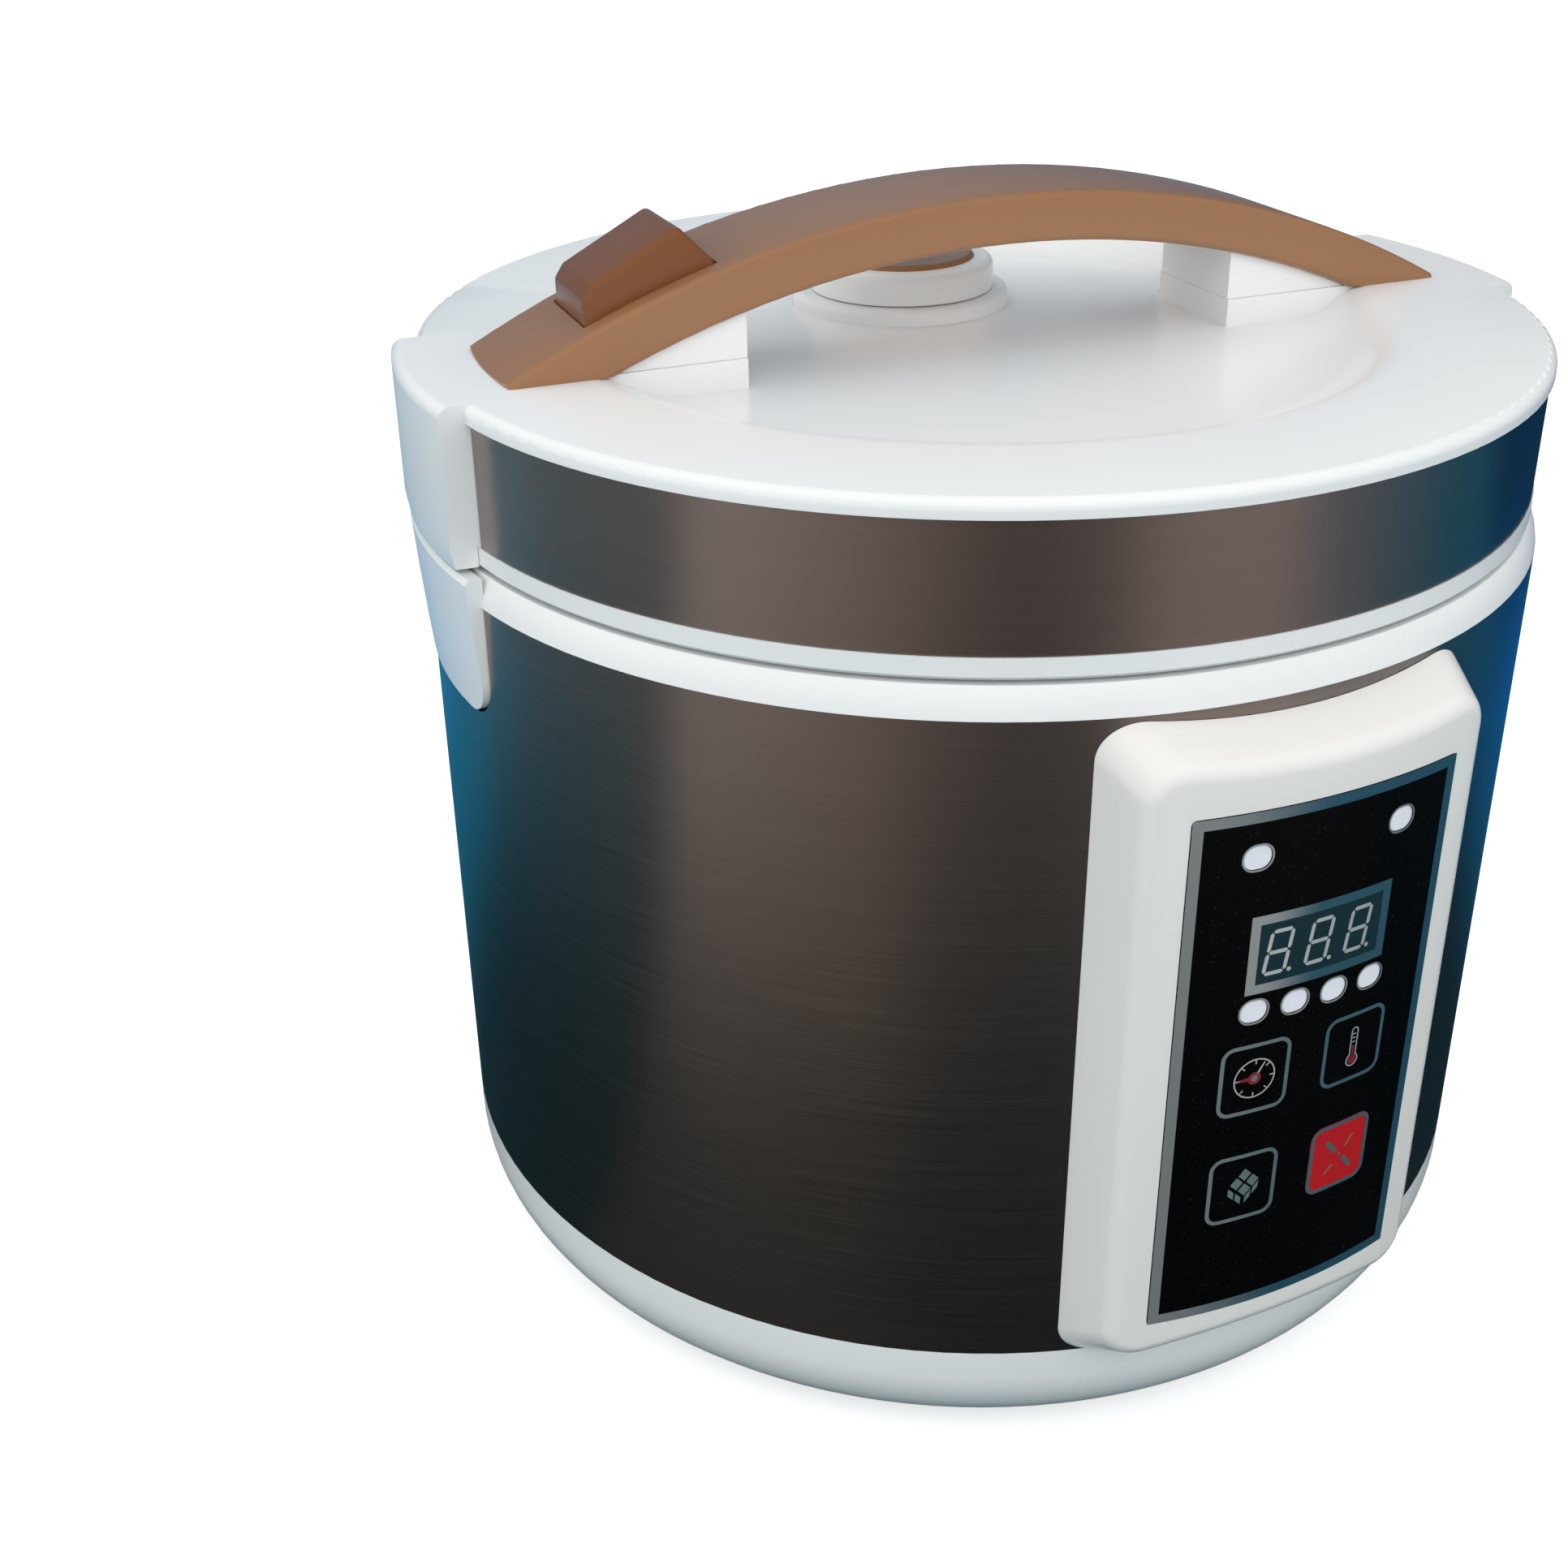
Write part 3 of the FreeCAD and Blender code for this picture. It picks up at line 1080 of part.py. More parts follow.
def dish_wall(top, drop):
    """The dish's sloping wall as two arcs, from its edge down to its floor."""
    x0, x1 = DISH_R, DISH_R - DISH_RUN
    z0, z1 = top, top - DISH_DEPTH
    radius = (DISH_RUN ** 2 + DISH_DEPTH ** 2) / (4 * DISH_DEPTH)
    half = math.atan2(DISH_DEPTH, DISH_RUN)
    across, down = radius * math.sin(half), radius * (1 - math.cos(half))
    middle = ((x0 + x1) / 2, (z0 + z1) / 2 - drop)
    return [(x0 - across, z0 - down - drop, *middle), (x1 + across, z1 + down - drop, x1, z1 - drop)]


def lid_block(z_low, inner_r):
    """The hollow block on the lid's edge that hides the latch or the hinge, drawn at -X."""
    top_r = BLOCK_R - BLOCK_ROUND
    slant = BLOCK_ROUND * ARC_IN
    lap_r = DISH_R + BLOCK_LAP
    solid = turned([
        (LID_RING_R + SEAT, z_low), (TONGUE_R, z_low), (BLOCK_R, z_low + BLOCK_FLARE),
        (BLOCK_R, Z_TOP - BLOCK_ROUND),
        (BLOCK_R - slant, Z_TOP - slant, top_r, Z_TOP), (lap_r, Z_TOP),
        (lap_r, Z_TOP - WALL), (inner_r, Z_TOP - WALL),
        (inner_r, Z_LID_BAND + SEAT), (LID_RING_R + SEAT, Z_LID_BAND + SEAT),
    ])
    prism = spun(front_block(BLOCK_HALF, 0, Z_ABOVE, BLOCK_CORNER, -OUTSIDE, -lap_r), -90)
    room = spun(front_block(BLOCK_HALF - WALL, 0, Z_TOP - WALL, BLOCK_ROOM_CORNER, -OUTSIDE, -DISH_R), -90)
    return solid.common(prism).cut(room.common(disc(BLOCK_R - WALL, 0, Z_TOP - WALL)))


def lid_top():
    """The white lid top: dish, lands for the posts, rounded edge, and the two blocks."""
    edge = EDGE_ROUND * ARC_IN
    under = Z_TOP - WALL
    dish_z = Z_TOP - DISH_DEPTH
    floor_r = DISH_R - DISH_RUN
    top = turned([
        (0, dish_z), (floor_r, dish_z), *reversed_arcs(dish_wall(Z_TOP, 0.0), (DISH_R, Z_TOP)),
        (LID_EDGE_R - EDGE_ROUND, Z_TOP),
        (LID_EDGE_R - edge, Z_TOP - edge, LID_EDGE_R, Z_TOP - EDGE_ROUND),
        (LID_EDGE_R, Z_LID_EDGE), (LID_WALL_IN_R, Z_LID_EDGE), (LID_WALL_IN_R, under),
        (DISH_R, under), *dish_wall(Z_TOP, WALL), (0, dish_z - WALL),
    ])
    lands = []
    rooms = []
    for side, inner in ((-1, POST_IN_LATCH), (1, POST_IN_HINGE)):
        end = side * (DISH_R + ISLAND_LAP)
        lands.append(box(side * inner, end, -ISLAND_HALF, ISLAND_HALF, dish_z - WALL, Z_TOP))
        rooms.append(box(side * (inner + WALL), end, WALL - ISLAND_HALF, ISLAND_HALF - WALL,
                         dish_z - WALL - OVER, under))
    blocks = [on_side(lid_block(Z_LID + PLAY, LID_WALL_R + SEAT), -1, LATCH_TURN),
              on_side(lid_block(Z_LID, LID_R + SEAT), 1)]
    bosses = []
    holes = [disc(VENT_TUBE_R + VENT_TUBE_WALL + SEAT, Z_LID, Z_TOP, 0, VENT_Y),
             disc(ROD_R + PLAY, Z_LID, Z_TOP + OVER, -ROD_X, 0)]
    for x, y in on_circle(LID_SCREW_R, LID_SCREW_ANGLES):
        bosses.append(disc(LID_BOSS_R, Z_LID + LID_RING_FLOOR + SEAT, under + OVER, x, y))
        holes.append(disc(SCREW_R, Z_LID, under - OVER, x, y))
    for x in HANDLE_SCREW_X:
        holes.append(disc(SCREW_R + SEAT, Z_LID, Z_TOP + OVER, x, 0))
    solid = fused(top, *lands).cut(rooms)
    for block in blocks:
        solid = solid.fuse(block)
    return fused(solid, *bosses).cut(holes)


def reversed_arcs(arcs, last):
    """The same run of arcs, walked from its far end back to its start."""
    points = [arcs[-1][-2:]] + [arc[-2:] for arc in reversed(arcs[:-1])] + [last]
    mids = [arc[:2] for arc in reversed(arcs)]
    return [(*mid, *point) for mid, point in zip(mids, points[1:])]


def lid_band():
    """The stainless band round the lid. Its ends meet the latch block and it passes behind the hinge."""
    band = tube(LID_R, LID_R - SHEET, Z_LID_BAND + SEAT / 2, Z_LID_EDGE - SEAT / 2)
    half = BLOCK_HALF + NOTCH_GAP
    return band.cut(on_side(box(-OUTSIDE, -INSIDE, -half, half, 0, Z_ABOVE), -1, LATCH_TURN))


def lid_ring():
    """The lid's lower moulding: floor ring, wall inside the band, pin brackets, hinge knuckles."""
    floor = Z_LID + LID_RING_FLOOR
    ring = turned([
        (LID_RING_IN_R, Z_LID), (LID_RING_R - LID_RING_EDGE, Z_LID), (LID_RING_R, Z_LID + LID_RING_EDGE),
        (LID_RING_R, Z_LID_BAND), (LID_WALL_R, Z_LID_BAND), (LID_WALL_R, Z_LID_EDGE - SEAT),
        (LID_WALL_IN_R, Z_LID_EDGE - SEAT), (LID_WALL_IN_R, floor), (LID_RING_IN_R, floor),
    ])
    groove_half = SEAL_RIB_HALF + SEAT
    groove = tube(SEAL_RIB_R + groove_half, SEAL_RIB_R - groove_half, Z_LID - OVER, Z_LID + SEAL_RIB + SEAT)
    brackets = []
    for side in (-1, 1):
        inner = side * (LEVER_HALF + 2 * PLAY)
        bracket = box(-PIVOT_X - BRACKET_OUT, -PIVOT_X + BRACKET_IN, inner, inner + side * BRACKET_T,
                      floor - OVER, PIVOT_Z + PIVOT_PIN_R + BRACKET_T)
        brackets.append(bracket)
    half = LEVER_HALF + PLAY
    hook_room = box(-BLOCK_R, -POCKET_IN_X + PLAY, -half, half, Z_LID - OVER, Z_LID_EDGE)
    lever_room = box(-BLOCK_R, -PIVOT_X + PIVOT_HUB_R + LEVER_ROOM, -half, half, floor, Z_LID_EDGE)
    bore = rod_y(PIVOT_PIN_R + FIT, -PIVOT_X, PIVOT_Z, -PIVOT_PIN_HALF - SEAT, PIVOT_PIN_HALF + SEAT)
    holes = [groove, hook_room, lever_room, bore]
    for x, y in on_circle(LID_SCREW_R, LID_SCREW_ANGLES):
        holes.append(disc(SCREW_R + SEAT, Z_LID - OVER, floor + OVER, x, y))
        holes.append(disc(SCREW_HEAD_R + SEAT, Z_LID - OVER, Z_LID + LID_SCREW_SINK, x, y))
    spacers = []
    spacer_top = floor + SPACER_RISE
    for x, y in on_circle(COVER_SCREW_R, COVER_SCREW_ANGLES):
        spacers.append(disc(SPACER_R, Z_LID - COVER_DROP + SEAT, spacer_top, x, y))
        holes.append(disc(SCREW_R, Z_LID - COVER_DROP - OVER, spacer_top - SPACER_SKIN, x, y))
    body = fused(ring, *brackets, *spacers).cut(holes)
    return fused(body, *knuckles())


def knuckles():
    """The two knuckles under the lid that turn on the hinge pin."""
    made = []
    outer = HINGE_X + KNUCKLE_NECK
    top = Z_LID + LID_RING_FLOOR
    for side in (-1, 1):
        y0, y1 = sorted((side * KNUCKLE_Y[0], side * KNUCKLE_Y[1]))
        barrel = rod_y(KNUCKLE_R, HINGE_X, HINGE_Z, y0, y1)
        neck = box(HINGE_X - KNUCKLE_R, outer, y0, y1, HINGE_Z, top)
        foot = box(HINGE_X - KNUCKLE_FOOT, outer, y0, y1, Z_LID, top)
        bore = rod_y(HINGE_PIN_R + FIT, HINGE_X, HINGE_Z, y0 - OVER, y1 + OVER)
        made.append(fused(barrel, neck, foot).cut(bore))
    return made


def lid_inner_cover():
    """The bright metal cover inside the lid, with holes under the steam vent."""
    top = Z_LID - COVER_DROP
    low = top - COVER_T
    plate = turned([
        (0, low), (COVER_R - COVER_EDGE, low), (COVER_R, low + COVER_EDGE), (COVER_R, top + COVER_LIP),
        (COVER_R - COVER_T, top + COVER_LIP), (COVER_R - COVER_T, top), (0, top),
    ])
    step = 360 / STEAM_HOLES
    holes = []
    for x, y in on_circle(STEAM_CIRCLE_R, [step * turn for turn in range(STEAM_HOLES)]):
        holes.append(disc(STEAM_HOLE_R, low - OVER, Z_LID, x, VENT_Y + y))
    for x, y in on_circle(COVER_SCREW_R, COVER_SCREW_ANGLES):
        holes.append(disc(SCREW_R + SEAT, low - OVER, Z_LID, x, y))
    return plate.cut(holes)


def lid_seal():
    """The silicone ring round the inner cover, held by a rib in the lid ring's groove."""
    inner = COVER_R + SEAT
    low = Z_LID - SEAL_DROP
    top = Z_LID - SEAT
    rib_out = SEAL_RIB_R + SEAL_RIB_HALF
    rib_in = SEAL_RIB_R - SEAL_RIB_HALF
    return turned([
        (inner, low + SEAL_EDGE), (inner + SEAL_EDGE, low), (SEAL_R - SEAL_EDGE, low),
        (SEAL_R, low + SEAL_EDGE), (SEAL_R, top), (rib_out, top), (rib_out, Z_LID + SEAL_RIB),
        (rib_in, Z_LID + SEAL_RIB), (rib_in, top), (inner, top),
    ])


# ---------------------------------------------------------------- handle
ARC_R = (HANDLE_HALF ** 2 + HANDLE_RISE ** 2) / (2 * HANDLE_RISE)
ARC_Z = Z_TOP + HANDLE_RISE - ARC_R


def arc_top(x, radius):
    """Height of the handle's arc at a place along X."""
    return ARC_Z + math.sqrt(radius ** 2 - x ** 2)


def arc_slab(outer, inner, x0, x1, half):
    """The stretch of a curved bar between two arcs and two places along X."""
    middle = (x0 + x1) / 2
    points = [
        (x0, arc_top(x0, inner)), (middle, arc_top(middle, inner), x1, arc_top(x1, inner)),
        (x1, arc_top(x1, outer)), (middle, arc_top(middle, outer), x0, arc_top(x0, outer)),
    ]
    return slab_y(points, -half, half)


def button_slot():
    """The slot that the release button moves in, through the handle and its post."""
    half = BUTTON_HALF + SLOT_PLAY
    return box(-BUTTON_OUT - SLOT_PLAY, -BUTTON_IN + SLOT_PLAY, -half, half, Z_TOP - SEAT, Z_ABOVE)


def handle_bar():
    """The tan bar: two concentric arcs that land flat on the lid, with rounded long edges."""
    reach = HANDLE_END_R + HANDLE_T
    bar = arc_slab(ARC_R, ARC_R - HANDLE_T, -reach, reach, HANDLE_W / 2)
    bar = rounded_edges(bar, HANDLE_ROUND, on_handle_arc)
    bar = bar.common(disc(HANDLE_END_R, Z_TOP, Z_ABOVE))
    ends = [x for x in HANDLE_SCREW_X if abs(x) > POST_OUT]
    return bar.cut([button_slot(), *handle_holes(ends)])


def handle_holes(places):
    """Blind screw holes up from the lid, at places along X."""
    return [disc(SCREW_R, Z_TOP - OVER, Z_TOP + HANDLE_HOLE, x, 0) for x in places]


def on_handle_arc(edge):
    """True for the four long curved edges of the handle."""
    middle = edge.valueAt((edge.FirstParameter + edge.LastParameter) / 2)
    radius = math.hypot(middle.x, middle.z - ARC_Z)
    on_arc = min(abs(radius - ARC_R), abs(radius - ARC_R + HANDLE_T)) < NEAR
    return on_arc and edge.Length > HANDLE_HALF and abs(abs(middle.y) - HANDLE_W / 2) < NEAR


def handle_post(side):
    """A white post between the lid and the handle's underside."""
    inner = POST_IN_LATCH if side < 0 else POST_IN_HINGE
    arc = ARC_R - HANDLE_T - SEAT / 2
    post = box(side * inner, side * POST_OUT, -POST_HALF, POST_HALF, Z_TOP + SEAT / 2, Z_ABOVE)
    post = post.common(rod_y(arc, 0, ARC_Z, -POST_HALF - OVER, POST_HALF + OVER))
    if side < 0:
        return post.cut(button_slot())
    return post.cut(handle_holes([x for x in HANDLE_SCREW_X if abs(x) < POST_OUT]))


def release_button():
    """The wedge-shaped button: low outer end, ramp up to a crest, steep heel."""
    low = Z_TOP + BUTTON_LOW
    body = slab_y([
        (-BUTTON_OUT, low), (-BUTTON_IN, low), (-BUTTON_IN, Z_TOP + BUTTON_HEEL),
        (-BUTTON_CREST_X, Z_TOP + BUTTON_CREST), (-BUTTON_OUT + BUTTON_NOSE_IN, Z_TOP + BUTTON_END_TOP),
        (-BUTTON_OUT, Z_TOP + BUTTON_END_TOP - BUTTON_NOSE_DROP),
    ], -BUTTON_HALF, BUTTON_HALF)
    body = rounded_edges(body, BUTTON_ROUND, lambda edge: edge.CenterOfMass.z > low + OVER)
    return body.cut(disc(SPRING_POCKET_R, low - OVER, low + SPRING_POCKET_DEPTH, -ROD_X, 0))


def push_rod():
    """The rod under the button, with the collar that keeps it in the lid."""
    collar = Z_TOP - WALL - PLAY
    rod = disc(ROD_R, PIVOT_Z + LEVER_T / 2 + PLAY, SPRING_TOP, -ROD_X, 0)
    return fused(rod, disc(ROD_COLLAR_R, collar - ROD_COLLAR_T, collar, -ROD_X, 0))


def button_spring():
    """The spring round the rod, between the lid and the button."""
    return coil(SPRING_R, SPRING_WIRE_R, Z_TOP + SEAT, SPRING_TOP, SPRING_TURNS, -ROD_X, 0)


# ---------------------------------------------------------------- latch
def latch_hook():
    """The rocking lever: an arm under the push rod and a hook that hangs into the body."""
    half = LEVER_HALF
    arm = box(-PIVOT_X, -LEVER_TIP_X, -half, half, PIVOT_Z - LEVER_T / 2, PIVOT_Z + LEVER_T / 2)
    hub = rod_y(PIVOT_HUB_R, -PIVOT_X, PIVOT_Z, -half, half)
    back = -HOOK_OUT_X + HOOK_T
    bar = box(-HOOK_OUT_X, back, -half, half, HOOK_END_Z, PIVOT_Z)
    nose = slab_y([
        (back - HOOK_T / 2, HOOK_END_Z), (-HOOK_NOSE_X - HOOK_NOSE_EASE, HOOK_END_Z),
        (-HOOK_NOSE_X, HOOK_NOSE_Z), (-HOOK_NOSE_X, HOOK_NOSE_Z + HOOK_NOSE_H),
        (back - HOOK_T / 2, HOOK_NOSE_Z + HOOK_NOSE_H),
    ], -half, half)
    bore = rod_y(PIVOT_PIN_R + FIT, -PIVOT_X, PIVOT_Z, -half - OVER, half + OVER)
    return fused(arm, hub, bar, nose).cut(bore)


def latch_pin():
    """The pin that the latch lever rocks on."""
    return rod_y(PIVOT_PIN_R, -PIVOT_X, PIVOT_Z, -PIVOT_PIN_HALF, PIVOT_PIN_HALF)


def latch_spring():
    """The spring under the lever's arm that keeps the hook in."""
    low = Z_LID + LID_RING_FLOOR + SEAT
    top = PIVOT_Z - LEVER_T / 2 - SEAT
    return coil(LATCH_SPRING_R, LATCH_SPRING_WIRE_R, low, top, SPRING_TURNS, -LATCH_SPRING_X, 0)


# ---------------------------------------------------------------- steam vent
def vent_seat():
    """The round seat of the steam vent, with its tube down through the lid."""
    top = VENT_SEAT_Z + VENT_SEAT_H
    tube_low = Z_LID + VENT_TUBE_LOW
    outer = VENT_TUBE_R + VENT_TUBE_WALL
    edge = VENT_SEAT_EDGE * ARC_IN
    seat = turned([
        (VENT_TUBE_R, tube_low), (outer, tube_low), (outer, VENT_SEAT_Z), (VENT_SEAT_R, VENT_SEAT_Z),
        (VENT_SEAT_R, top - VENT_SEAT_EDGE),
        (VENT_SEAT_R - edge, top - edge, VENT_SEAT_R - VENT_SEAT_EDGE, top), (VENT_TUBE_R, top),
    ])
    return moved(seat, 0, VENT_Y)


def vent_cap():
    """The white cap that pulls up off its seat, with slots in its plug and notches under its edge."""
    low = VENT_CAP_Z
    top = low + VENT_CAP_H
    plug = VENT_TUBE_R - FIT
    plug_in = plug - VENT_PLUG_WALL
    inside = VENT_CAP_R - VENT_CAP_WALL
    under = top - VENT_CAP_WALL
    edge = VENT_CAP_EDGE * ARC_IN
    cap = turned([
        (plug_in, low - VENT_PLUG_DROP), (plug, low - VENT_PLUG_DROP), (plug, under), (inside, under),
        (inside, low), (VENT_CAP_R, low), (VENT_CAP_R, top - VENT_CAP_EDGE),
        (VENT_CAP_R - edge, top - edge, VENT_CAP_R - VENT_CAP_EDGE, top), (0, top),
        (0, under), (plug_in, under),
    ])
    slot = box(plug_in - OVER, plug + OVER, -VENT_SLOT_HALF, VENT_SLOT_HALF,
               low + VENT_SLOT_MARGIN, under - VENT_SLOT_MARGIN)
    step = 360 / VENT_SLOTS
    slots = [spun(slot, step * (turn + 0.5)) for turn in range(VENT_SLOTS)]
    notch = box(inside - OVER, VENT_CAP_R + OVER, -VENT_GAP_HALF, VENT_GAP_HALF,
                low - OVER, low + VENT_GAP_H)
    notches = [spun(notch, angle) for angle in VENT_GAP_ANGLES]
    return moved(cap.cut(slots + notches), 0, VENT_Y)


def vent_disc():
    """The tan disc set on the cap."""
    low = VENT_CAP_Z + VENT_CAP_H
    top = low + VENT_DISC_T
    rim = VENT_DISC_R - VENT_DISC_RIM
    plate = turned([
        (0, low), (VENT_DISC_R, low), (VENT_DISC_R - VENT_DISC_EDGE, top), (rim, top),
        (rim - VENT_DISC_SLOPE, top - VENT_DISC_SINK), (0, top - VENT_DISC_SINK),
    ])
    return moved(plate, 0, VENT_Y)


def vent_gasket():
    """The silicone sleeve between the vent's tube and the inner cover."""
    low = Z_LID - COVER_DROP + SEAT / 2
    outer = VENT_TUBE_R + VENT_TUBE_WALL + GASKET_OUT
    return tube(outer, VENT_TUBE_R - GASKET_IN, low, Z_LID + VENT_TUBE_LOW - SEAT / 2, 0, VENT_Y)


# ---------------------------------------------------------------- fasteners
def upright_screws(places, head_z, length):
    """Screws driven upward, at a list of places."""
    return [moved(screw(length), x, y, head_z) for x, y in places]


def on_circle(radius, angles):
    """Places round the Z axis."""
    return [polar(radius, angle) for angle in angles]


def base_screws():
    """The bottom cover's four, three long ones up to the heating chamber, the plate's and the rim's."""
    hatch = upright_screws(on_circle(HATCH_SCREW_R, FOOT_ANGLES), Z_BASE - SEAT / 2, HATCH_SCREW_L)
    long_z = Z_BASE + SCREW_HEAD_H
    long = upright_screws(on_circle(POST_CIRCLE_R, POST_ANGLES), long_z, Z_LINER + LONG_SCREW_UP - long_z)
    plate = upright_screws(on_circle(STUD_CIRCLE_R, STUD_ANGLES), Z_LINER - SEAT / 2, PLATE_SCREW_L)
    rim = upright_screws(on_circle(LINER_SCREW_R, LINER_SCREW_ANGLES),
                         LEDGE_Z - LEDGE_T - SEAT - LINER_T - SEAT / 2, RIM_SCREW_L)
    return group(hatch + long + plate + rim)


def lid_screws():
    """Four screws up into the lid top and four that hold the inner cover."""
    ring = upright_screws(on_circle(LID_SCREW_R, LID_SCREW_ANGLES), Z_LID + LID_SCREW_SINK - SEAT / 2,
                          LID_SCREW_L)
    cover = upright_screws(on_circle(COVER_SCREW_R, COVER_SCREW_ANGLES),
                           Z_LID - COVER_DROP - COVER_T - SEAT / 2, COVER_SCREW_L)
    return group(ring + cover)


def handle_screws():
    """Screws from inside the lid into the handle's ends and the hinge-side post."""
    places = [(x, 0) for x in HANDLE_SCREW_X]
    return group(upright_screws(places, Z_TOP - WALL - SEAT / 2, HANDLE_SCREW_L))


def level_screw(length, x, z, turn):
    """A screw driven out through the band, its head against the band's inside."""
    head_y = math.sqrt((BODY_R - SHEET) ** 2 - (abs(x) + SCREW_HEAD_R) ** 2) - SEAT
    piece = screw(length)
    piece.rotate(Vector(0, 0, 0), Vector(1, 0, 0), -90)
    return spun(moved(piece, x, head_y, z), turn)


def panel_screws():
    """Four screws from inside the band into the panel housing."""
    places = [(x, z) for x in (-PANEL_SCREW_X, PANEL_SCREW_X) for z in PANEL_SCREW_Z]
    return group([panel_spin(level_screw(PANEL_SCREW_L, x, z, 180)) for x, z in places])


def inlet_screws():
    """Two screws that hold the inlet's surround to the band."""
    return group([level_screw(INLET_SCREW_L, x, INLET_Z, 0) for x in (-INLET_SCREW_X, INLET_SCREW_X)])


# ---------------------------------------------------------------- every piece, by name
MAKERS = {
    "base_housing": base_housing,
    "bottom_cover": bottom_cover,
    "feet": feet,
    "body_band": body_band,
    "body_rim": body_rim,
    "latch_keeper": latch_keeper,
    "hinge_pin": hinge_pin,
    "inner_liner": inner_liner,
    "heating_belt": heating_belt,
    "heating_plate": heating_plate,
    "heating_element": heating_element,
    "inner_pot": inner_pot,
    "temperature_sensor": temperature_sensor,
    "sensor_guide": sensor_guide,
    "sensor_spring": sensor_spring,
    "thermal_fuse": thermal_fuse,
    "power_board": power_board,
    "inlet_housing": inlet_housing,
    "power_inlet": power_inlet,
    "inlet_pins": lambda: group(pin_blanks(0.0)),
    "panel_housing": panel_housing,
    "panel_label": panel_label,
    "display_window": display_window,
    "control_board": control_board,
    "display_module": display_module,
    "indicator_lights": indicator_lights,
    "key_switches": key_switches,
    "board_cable": board_cable,
    "lid_top": lid_top,
    "lid_band": lid_band,
    "lid_ring": lid_ring,
    "lid_inner_cover": lid_inner_cover,
    "lid_seal": lid_seal,
    "handle_bar": handle_bar,
    "handle_post_latch": lambda: handle_post(-1),
    "handle_post_hinge": lambda: handle_post(1),
    "release_button": release_button,
    "push_rod": push_rod,
    "button_spring": button_spring,
    "latch_hook": latch_hook,
    "latch_pin": latch_pin,
    "latch_spring": latch_spring,
    "vent_seat": vent_seat,
    "vent_cap": vent_cap,
    "vent_disc": vent_disc,
    "vent_gasket": vent_gasket,
    "base_screws": base_screws,
    "lid_screws": lid_screws,
    "handle_screws": handle_screws,
    "panel_screws": panel_screws,
    "inlet_screws": inlet_screws,
}
for key_name in KEYS:
    MAKERS[key_name] = lambda name=key_name: key(name)

os.makedirs("parts", exist_ok=True)
for node, make in MAKERS.items():
    shape = make()
    print(node, "solids", len(shape.Solids), "valid", shape.isValid(), "volume", round(shape.Volume))
    shape.exportStep(f"parts/{node}.step")
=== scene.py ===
import json
import math

import bpy
from mathutils import Matrix, Vector


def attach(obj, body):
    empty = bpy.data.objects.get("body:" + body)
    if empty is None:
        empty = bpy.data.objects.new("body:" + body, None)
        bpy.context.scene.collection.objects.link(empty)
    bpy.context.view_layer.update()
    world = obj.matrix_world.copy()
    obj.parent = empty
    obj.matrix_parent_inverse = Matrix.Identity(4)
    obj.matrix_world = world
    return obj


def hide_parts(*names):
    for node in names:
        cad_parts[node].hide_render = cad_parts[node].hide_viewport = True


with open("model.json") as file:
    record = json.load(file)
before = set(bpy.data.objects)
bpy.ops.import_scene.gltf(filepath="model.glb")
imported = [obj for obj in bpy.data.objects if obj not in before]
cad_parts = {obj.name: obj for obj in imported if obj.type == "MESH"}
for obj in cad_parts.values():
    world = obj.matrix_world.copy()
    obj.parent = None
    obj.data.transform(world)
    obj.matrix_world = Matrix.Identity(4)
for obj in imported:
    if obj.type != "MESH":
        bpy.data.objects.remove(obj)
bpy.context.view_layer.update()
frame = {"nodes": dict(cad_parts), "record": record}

MM = 0.001


# ------------------------------------------------------------------ camera
# A long lens a little above the lid, in front of the latch side.
EYE = Vector((-0.2072, -0.4187, 0.3496))
LOOK = Vector((0.3126, 0.8275, -0.4664)).normalized()
LENS_MM = 46.17
LEAN = math.radians(-0.96)

side = LOOK.cross(Vector((0, 0, 1))).normalized()
rise = side.cross(LOOK)
camera_right = math.cos(LEAN) * side + math.sin(LEAN) * rise
camera_up = math.cos(LEAN) * rise - math.sin(LEAN) * side
lens = bpy.data.cameras.new("camera")
lens.lens = LENS_MM
lens.sensor_width = 36.0
lens.clip_start = 0.01
camera = bpy.data.objects.new("camera", lens)
bpy.context.scene.collection.objects.link(camera)
camera.matrix_world = Matrix((
    (camera_right.x, camera_up.x, -LOOK.x, EYE.x),
    (camera_right.y, camera_up.y, -LOOK.y, EYE.y),
    (camera_right.z, camera_up.z, -LOOK.z, EYE.z),
    (0, 0, 0, 1),
))
bpy.context.scene.camera = camera
bpy.context.scene.view_settings.view_transform = "Standard"


# ------------------------------------------------------------------ studio
# A pale floor in a white room, lit by soft lamps and the room itself. Shiny things show other
# surroundings: pale panels to both sides and a blue backdrop behind.
class Socket:
    """One output in a node tree. Sums on it add Math nodes."""

    def __init__(self, paint, socket):
        self.paint = paint
        self.socket = socket

    def math(self, operation, *values):
        inputs = {place: value for place, value in enumerate(values)}
        return self.paint.add("ShaderNodeMath", inputs, operation=operation)

    def __add__(self, other):
        return self.math("ADD", self, other)

    def __radd__(self, other):
        return self.math("ADD", other, self)

    def __sub__(self, other):
        return self.math("SUBTRACT", self, other)

    def __rsub__(self, other):
        return self.math("SUBTRACT", other, self)

    def __mul__(self, other):
        return self.math("MULTIPLY", self, other)

    def __rmul__(self, other):
        return self.math("MULTIPLY", other, self)

    def ramp(self, low, high):
        """0 below low, 1 above high and smooth between."""
        inputs = {"Value": self, "From Min": low, "From Max": high}
        return self.paint.add("ShaderNodeMapRange", inputs, interpolation_type="SMOOTHSTEP")


